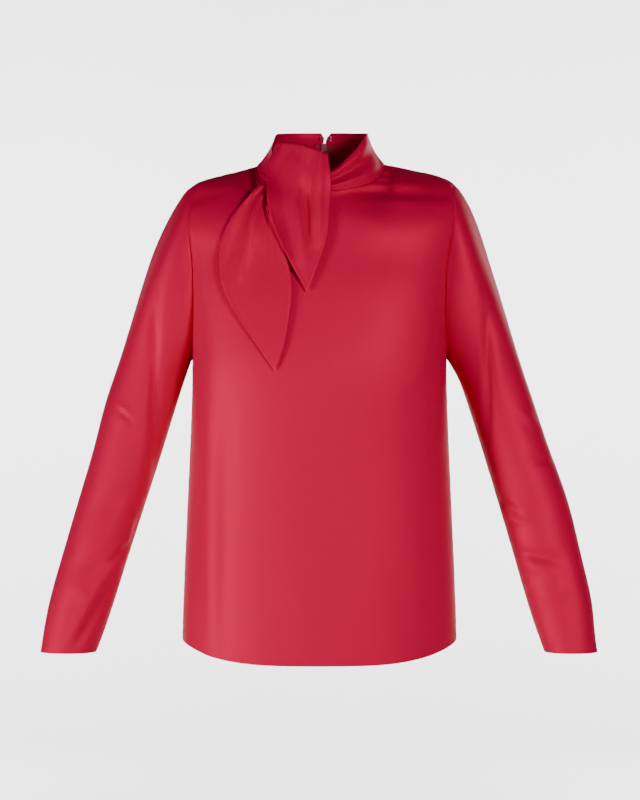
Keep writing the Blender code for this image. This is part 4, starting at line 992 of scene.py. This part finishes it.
tape_cloth = varied("zip_tape_weave", "A01A34", "8C1630", 0.004, 0.85, 0.0, 0.0001, ribs=0.0008)
coil_nylon = varied("coil_nylon", "A8283C", "94202F", 0.002, 0.35, 0.0, 0.00002)
plated_wire = varied("plated_wire", "C4B4B0", "A89A96", 0.001, 0.28, 1.0, 0.00001)
painted_zinc = varied("painted_zinc", "B4606C", "A4525E", 0.002, 0.42, 0.3, 0.00002)
FINISHES = {
    "zip_tape_left": (tape_cloth, "zip_tape"), "zip_tape_right": (tape_cloth, "zip_tape"),
    "zip_slider": (painted_zinc, "trim"), "zip_pull_tab": (painted_zinc, "trim"),
    "hook": (plated_wire, "trim"), "eye": (plated_wire, "trim"),
}
for name, (finish, slot_name) in FINISHES.items():
    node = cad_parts[name]
    node.data.materials.clear()
    node.data.materials.append(finish)

# %% The coil's teeth
TOOTH_PITCH = 0.0012
TOOTH = (0.00105, 0.00060, 0.00042)     # half reach, half depth and half height of one tooth
TOOTH_ASIDE = 0.00055                   # the teeth of either side stand this far off the middle line
TOOTH_POINTS = 8


def inner_edge(name, side):
    """Points down the edge of a tape that faces its twin, at even heights."""
    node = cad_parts[name]
    points = np.array([node.matrix_world @ vertex.co for vertex in node.data.vertices])
    heights = np.linspace(points[:, 2].min(), points[:, 2].max(), 60)
    found = []
    for height in heights:
        near = points[np.argsort(np.abs(points[:, 2] - height))[:8]]
        found.append(near[np.argmin(side * near[:, 0])])
    found = np.array(found)
    keep = np.concatenate([[True], np.diff(found[:, 2]) > 1e-4])
    return found[keep]


def tooth_line():
    left = inner_edge("zip_tape_left", 1)
    right = inner_edge("zip_tape_right", -1)
    low = max(left[0, 2], right[0, 2]) + TOOTH_PITCH
    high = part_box("zip_slider")[0][2]
    heights = np.arange(low, high, TOOTH_PITCH)
    columns = [np.stack([np.interp(heights, edge[:, 2], edge[:, k]) for k in range(2)], axis=1)
               for edge in (left, right)]
    return np.column_stack([(columns[0] + columns[1]) / 2, heights])


def zip_coil():
    line = tooth_line()
    turn = np.linspace(0, 2 * math.pi, TOOTH_POINTS, endpoint=False)
    points = []
    quads = []
    for k, middle in enumerate(line):
        aside = TOOTH_ASIDE * (1 if k % 2 else -1)
        start = len(points)
        for reach, swell in ((-1.0, 0.55), (-0.6, 1.0), (0.6, 1.0), (1.0, 0.55)):
            for angle in turn:
                points.append(middle + np.array([aside + reach * TOOTH[0], swell * TOOTH[1] * math.cos(angle),
                                                 swell * TOOTH[2] * math.sin(angle)]))
        for ring in range(3):
            for n in range(TOOTH_POINTS):
                a = start + ring * TOOTH_POINTS + n
                b = start + ring * TOOTH_POINTS + (n + 1) % TOOTH_POINTS
                quads.append((a, a + TOOTH_POINTS, b + TOOTH_POINTS, b))
        quads.append(tuple(range(start, start + TOOTH_POINTS)))
        quads.append(tuple(range(start + 4 * TOOTH_POINTS - 1, start + 3 * TOOTH_POINTS - 1, -1)))
    made = add_mesh("zip_coil", points, quads)
    made.data.materials.append(coil_nylon)
    print("coil of", len(line), "teeth")
    return made


coil = zip_coil()
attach(coil, BODY)

# %% [markdown]
# ## How the cloth is cut
#
# Every piece is cut flat before it is sewn. No paper pattern is known. Since the cut comes from the form
# itself, the area test that follows shows only that creases and thickness have not stretched the cloth.


# %% [markdown]
# ## Studio
#
# The blouse hangs before a pale sweep. A key light stands in front on the right, so the tie ends throw their
# soft shadows down to the left as in the photo. A tall strip on the left draws the satin's vertical shine, weak
# fills stand in front and behind, and two lamps whiten the sweep. Nothing shines from overhead, so the shoulder
# tops stay deep red. The camera is level, 3.5 m away, with a long lens that keeps the sides nearly parallel.

# %% Sweep, lamps and camera
FLOOR_Z = -1.30
SWEEP_BACK = 5.4
SWEEP_TOP = 1.5
SWEEP_RADIUS = 1.2
SWEEP_HALF_WIDTH = 4.0
CAMERA_DISTANCE = 3.5
CAMERA_X = 0.0007
CAMERA_Z = -0.301
VIEW_HEIGHT = 1.056


def sweep():
    """Floor that curves up into a wall."""
    bend = [(SWEEP_BACK - SWEEP_RADIUS + SWEEP_RADIUS * math.sin(t), FLOOR_Z + SWEEP_RADIUS * (1 - math.cos(t)))
            for t in np.linspace(0, math.pi / 2, 25)]
    profile = [(-6.0, FLOOR_Z)] + bend + [(SWEEP_BACK, SWEEP_TOP)]
    points = [(side * SWEEP_HALF_WIDTH, y, z) for y, z in profile for side in (-1, 1)]
    quads = [(2 * k, 2 * k + 1, 2 * k + 3, 2 * k + 2) for k in range(len(profile) - 1)]
    made = add_mesh("sweep", points, quads)
    made.data.materials.append(varied("pale_paper", "F6F6F6", "F1F1F1", 0.5, 0.9, 0.0, 0.0002))
    return made


def soft_box(name, place, aim, width, height, power, color=(1.0, 1.0, 1.0)):
    lamp = bpy.data.lights.new(name, "AREA")
    lamp.shape = "RECTANGLE"
    lamp.size = width
    lamp.size_y = height
    lamp.energy = power
    lamp.color = color
    made = bpy.data.objects.new(name, lamp)
    made.location = place
    made.rotation_euler = (Vector(aim) - Vector(place)).to_track_quat("-Z", "Y").to_euler()
    bpy.context.scene.collection.objects.link(made)
    return made


backdrop = sweep()
lamps = [
    soft_box("right_key", (1.80, -2.95, 0.50), (0, 0, -0.30), 0.6, 0.6, 74),
    soft_box("left_strip", (-2.8, -1.6, -0.80), (-0.1, 0, -0.50), 0.8, 1.1, 80),
    soft_box("front_fill", (-0.9, -4.0, -0.55), (0, 0, -0.35), 1.8, 1.0, 7),
    soft_box("rear_fill", (1.8, 3.0, 0.60), (0, 0, -0.30), 1.0, 1.0, 30),
    soft_box("backdrop_left", (-2.0, 2.6, 0.3), (-0.6, 5.4, 0.1), 1.2, 1.6, 260),
    soft_box("backdrop_right", (2.0, 2.6, 0.3), (0.6, 5.4, 0.1), 1.2, 1.6, 260),
]
world = bpy.data.worlds.new("studio")
bpy.context.scene.world = world
world.use_nodes = True
world.node_tree.nodes["Background"].inputs["Color"].default_value = (1.0, 1.0, 1.0, 1.0)
world.node_tree.nodes["Background"].inputs["Strength"].default_value = 0.06

lens = bpy.data.cameras.new("camera")
lens.sensor_width = 36.0
lens.lens = 36.0 * CAMERA_DISTANCE / VIEW_HEIGHT
camera = bpy.data.objects.new("camera", lens)
camera.location = (CAMERA_X, -CAMERA_DISTANCE, CAMERA_Z)
camera.rotation_euler = (math.pi / 2, 0.0, 0.0)
bpy.context.scene.collection.objects.link(camera)
bpy.context.scene.camera = camera
print("lens", round(lens.lens, 1), "mm")
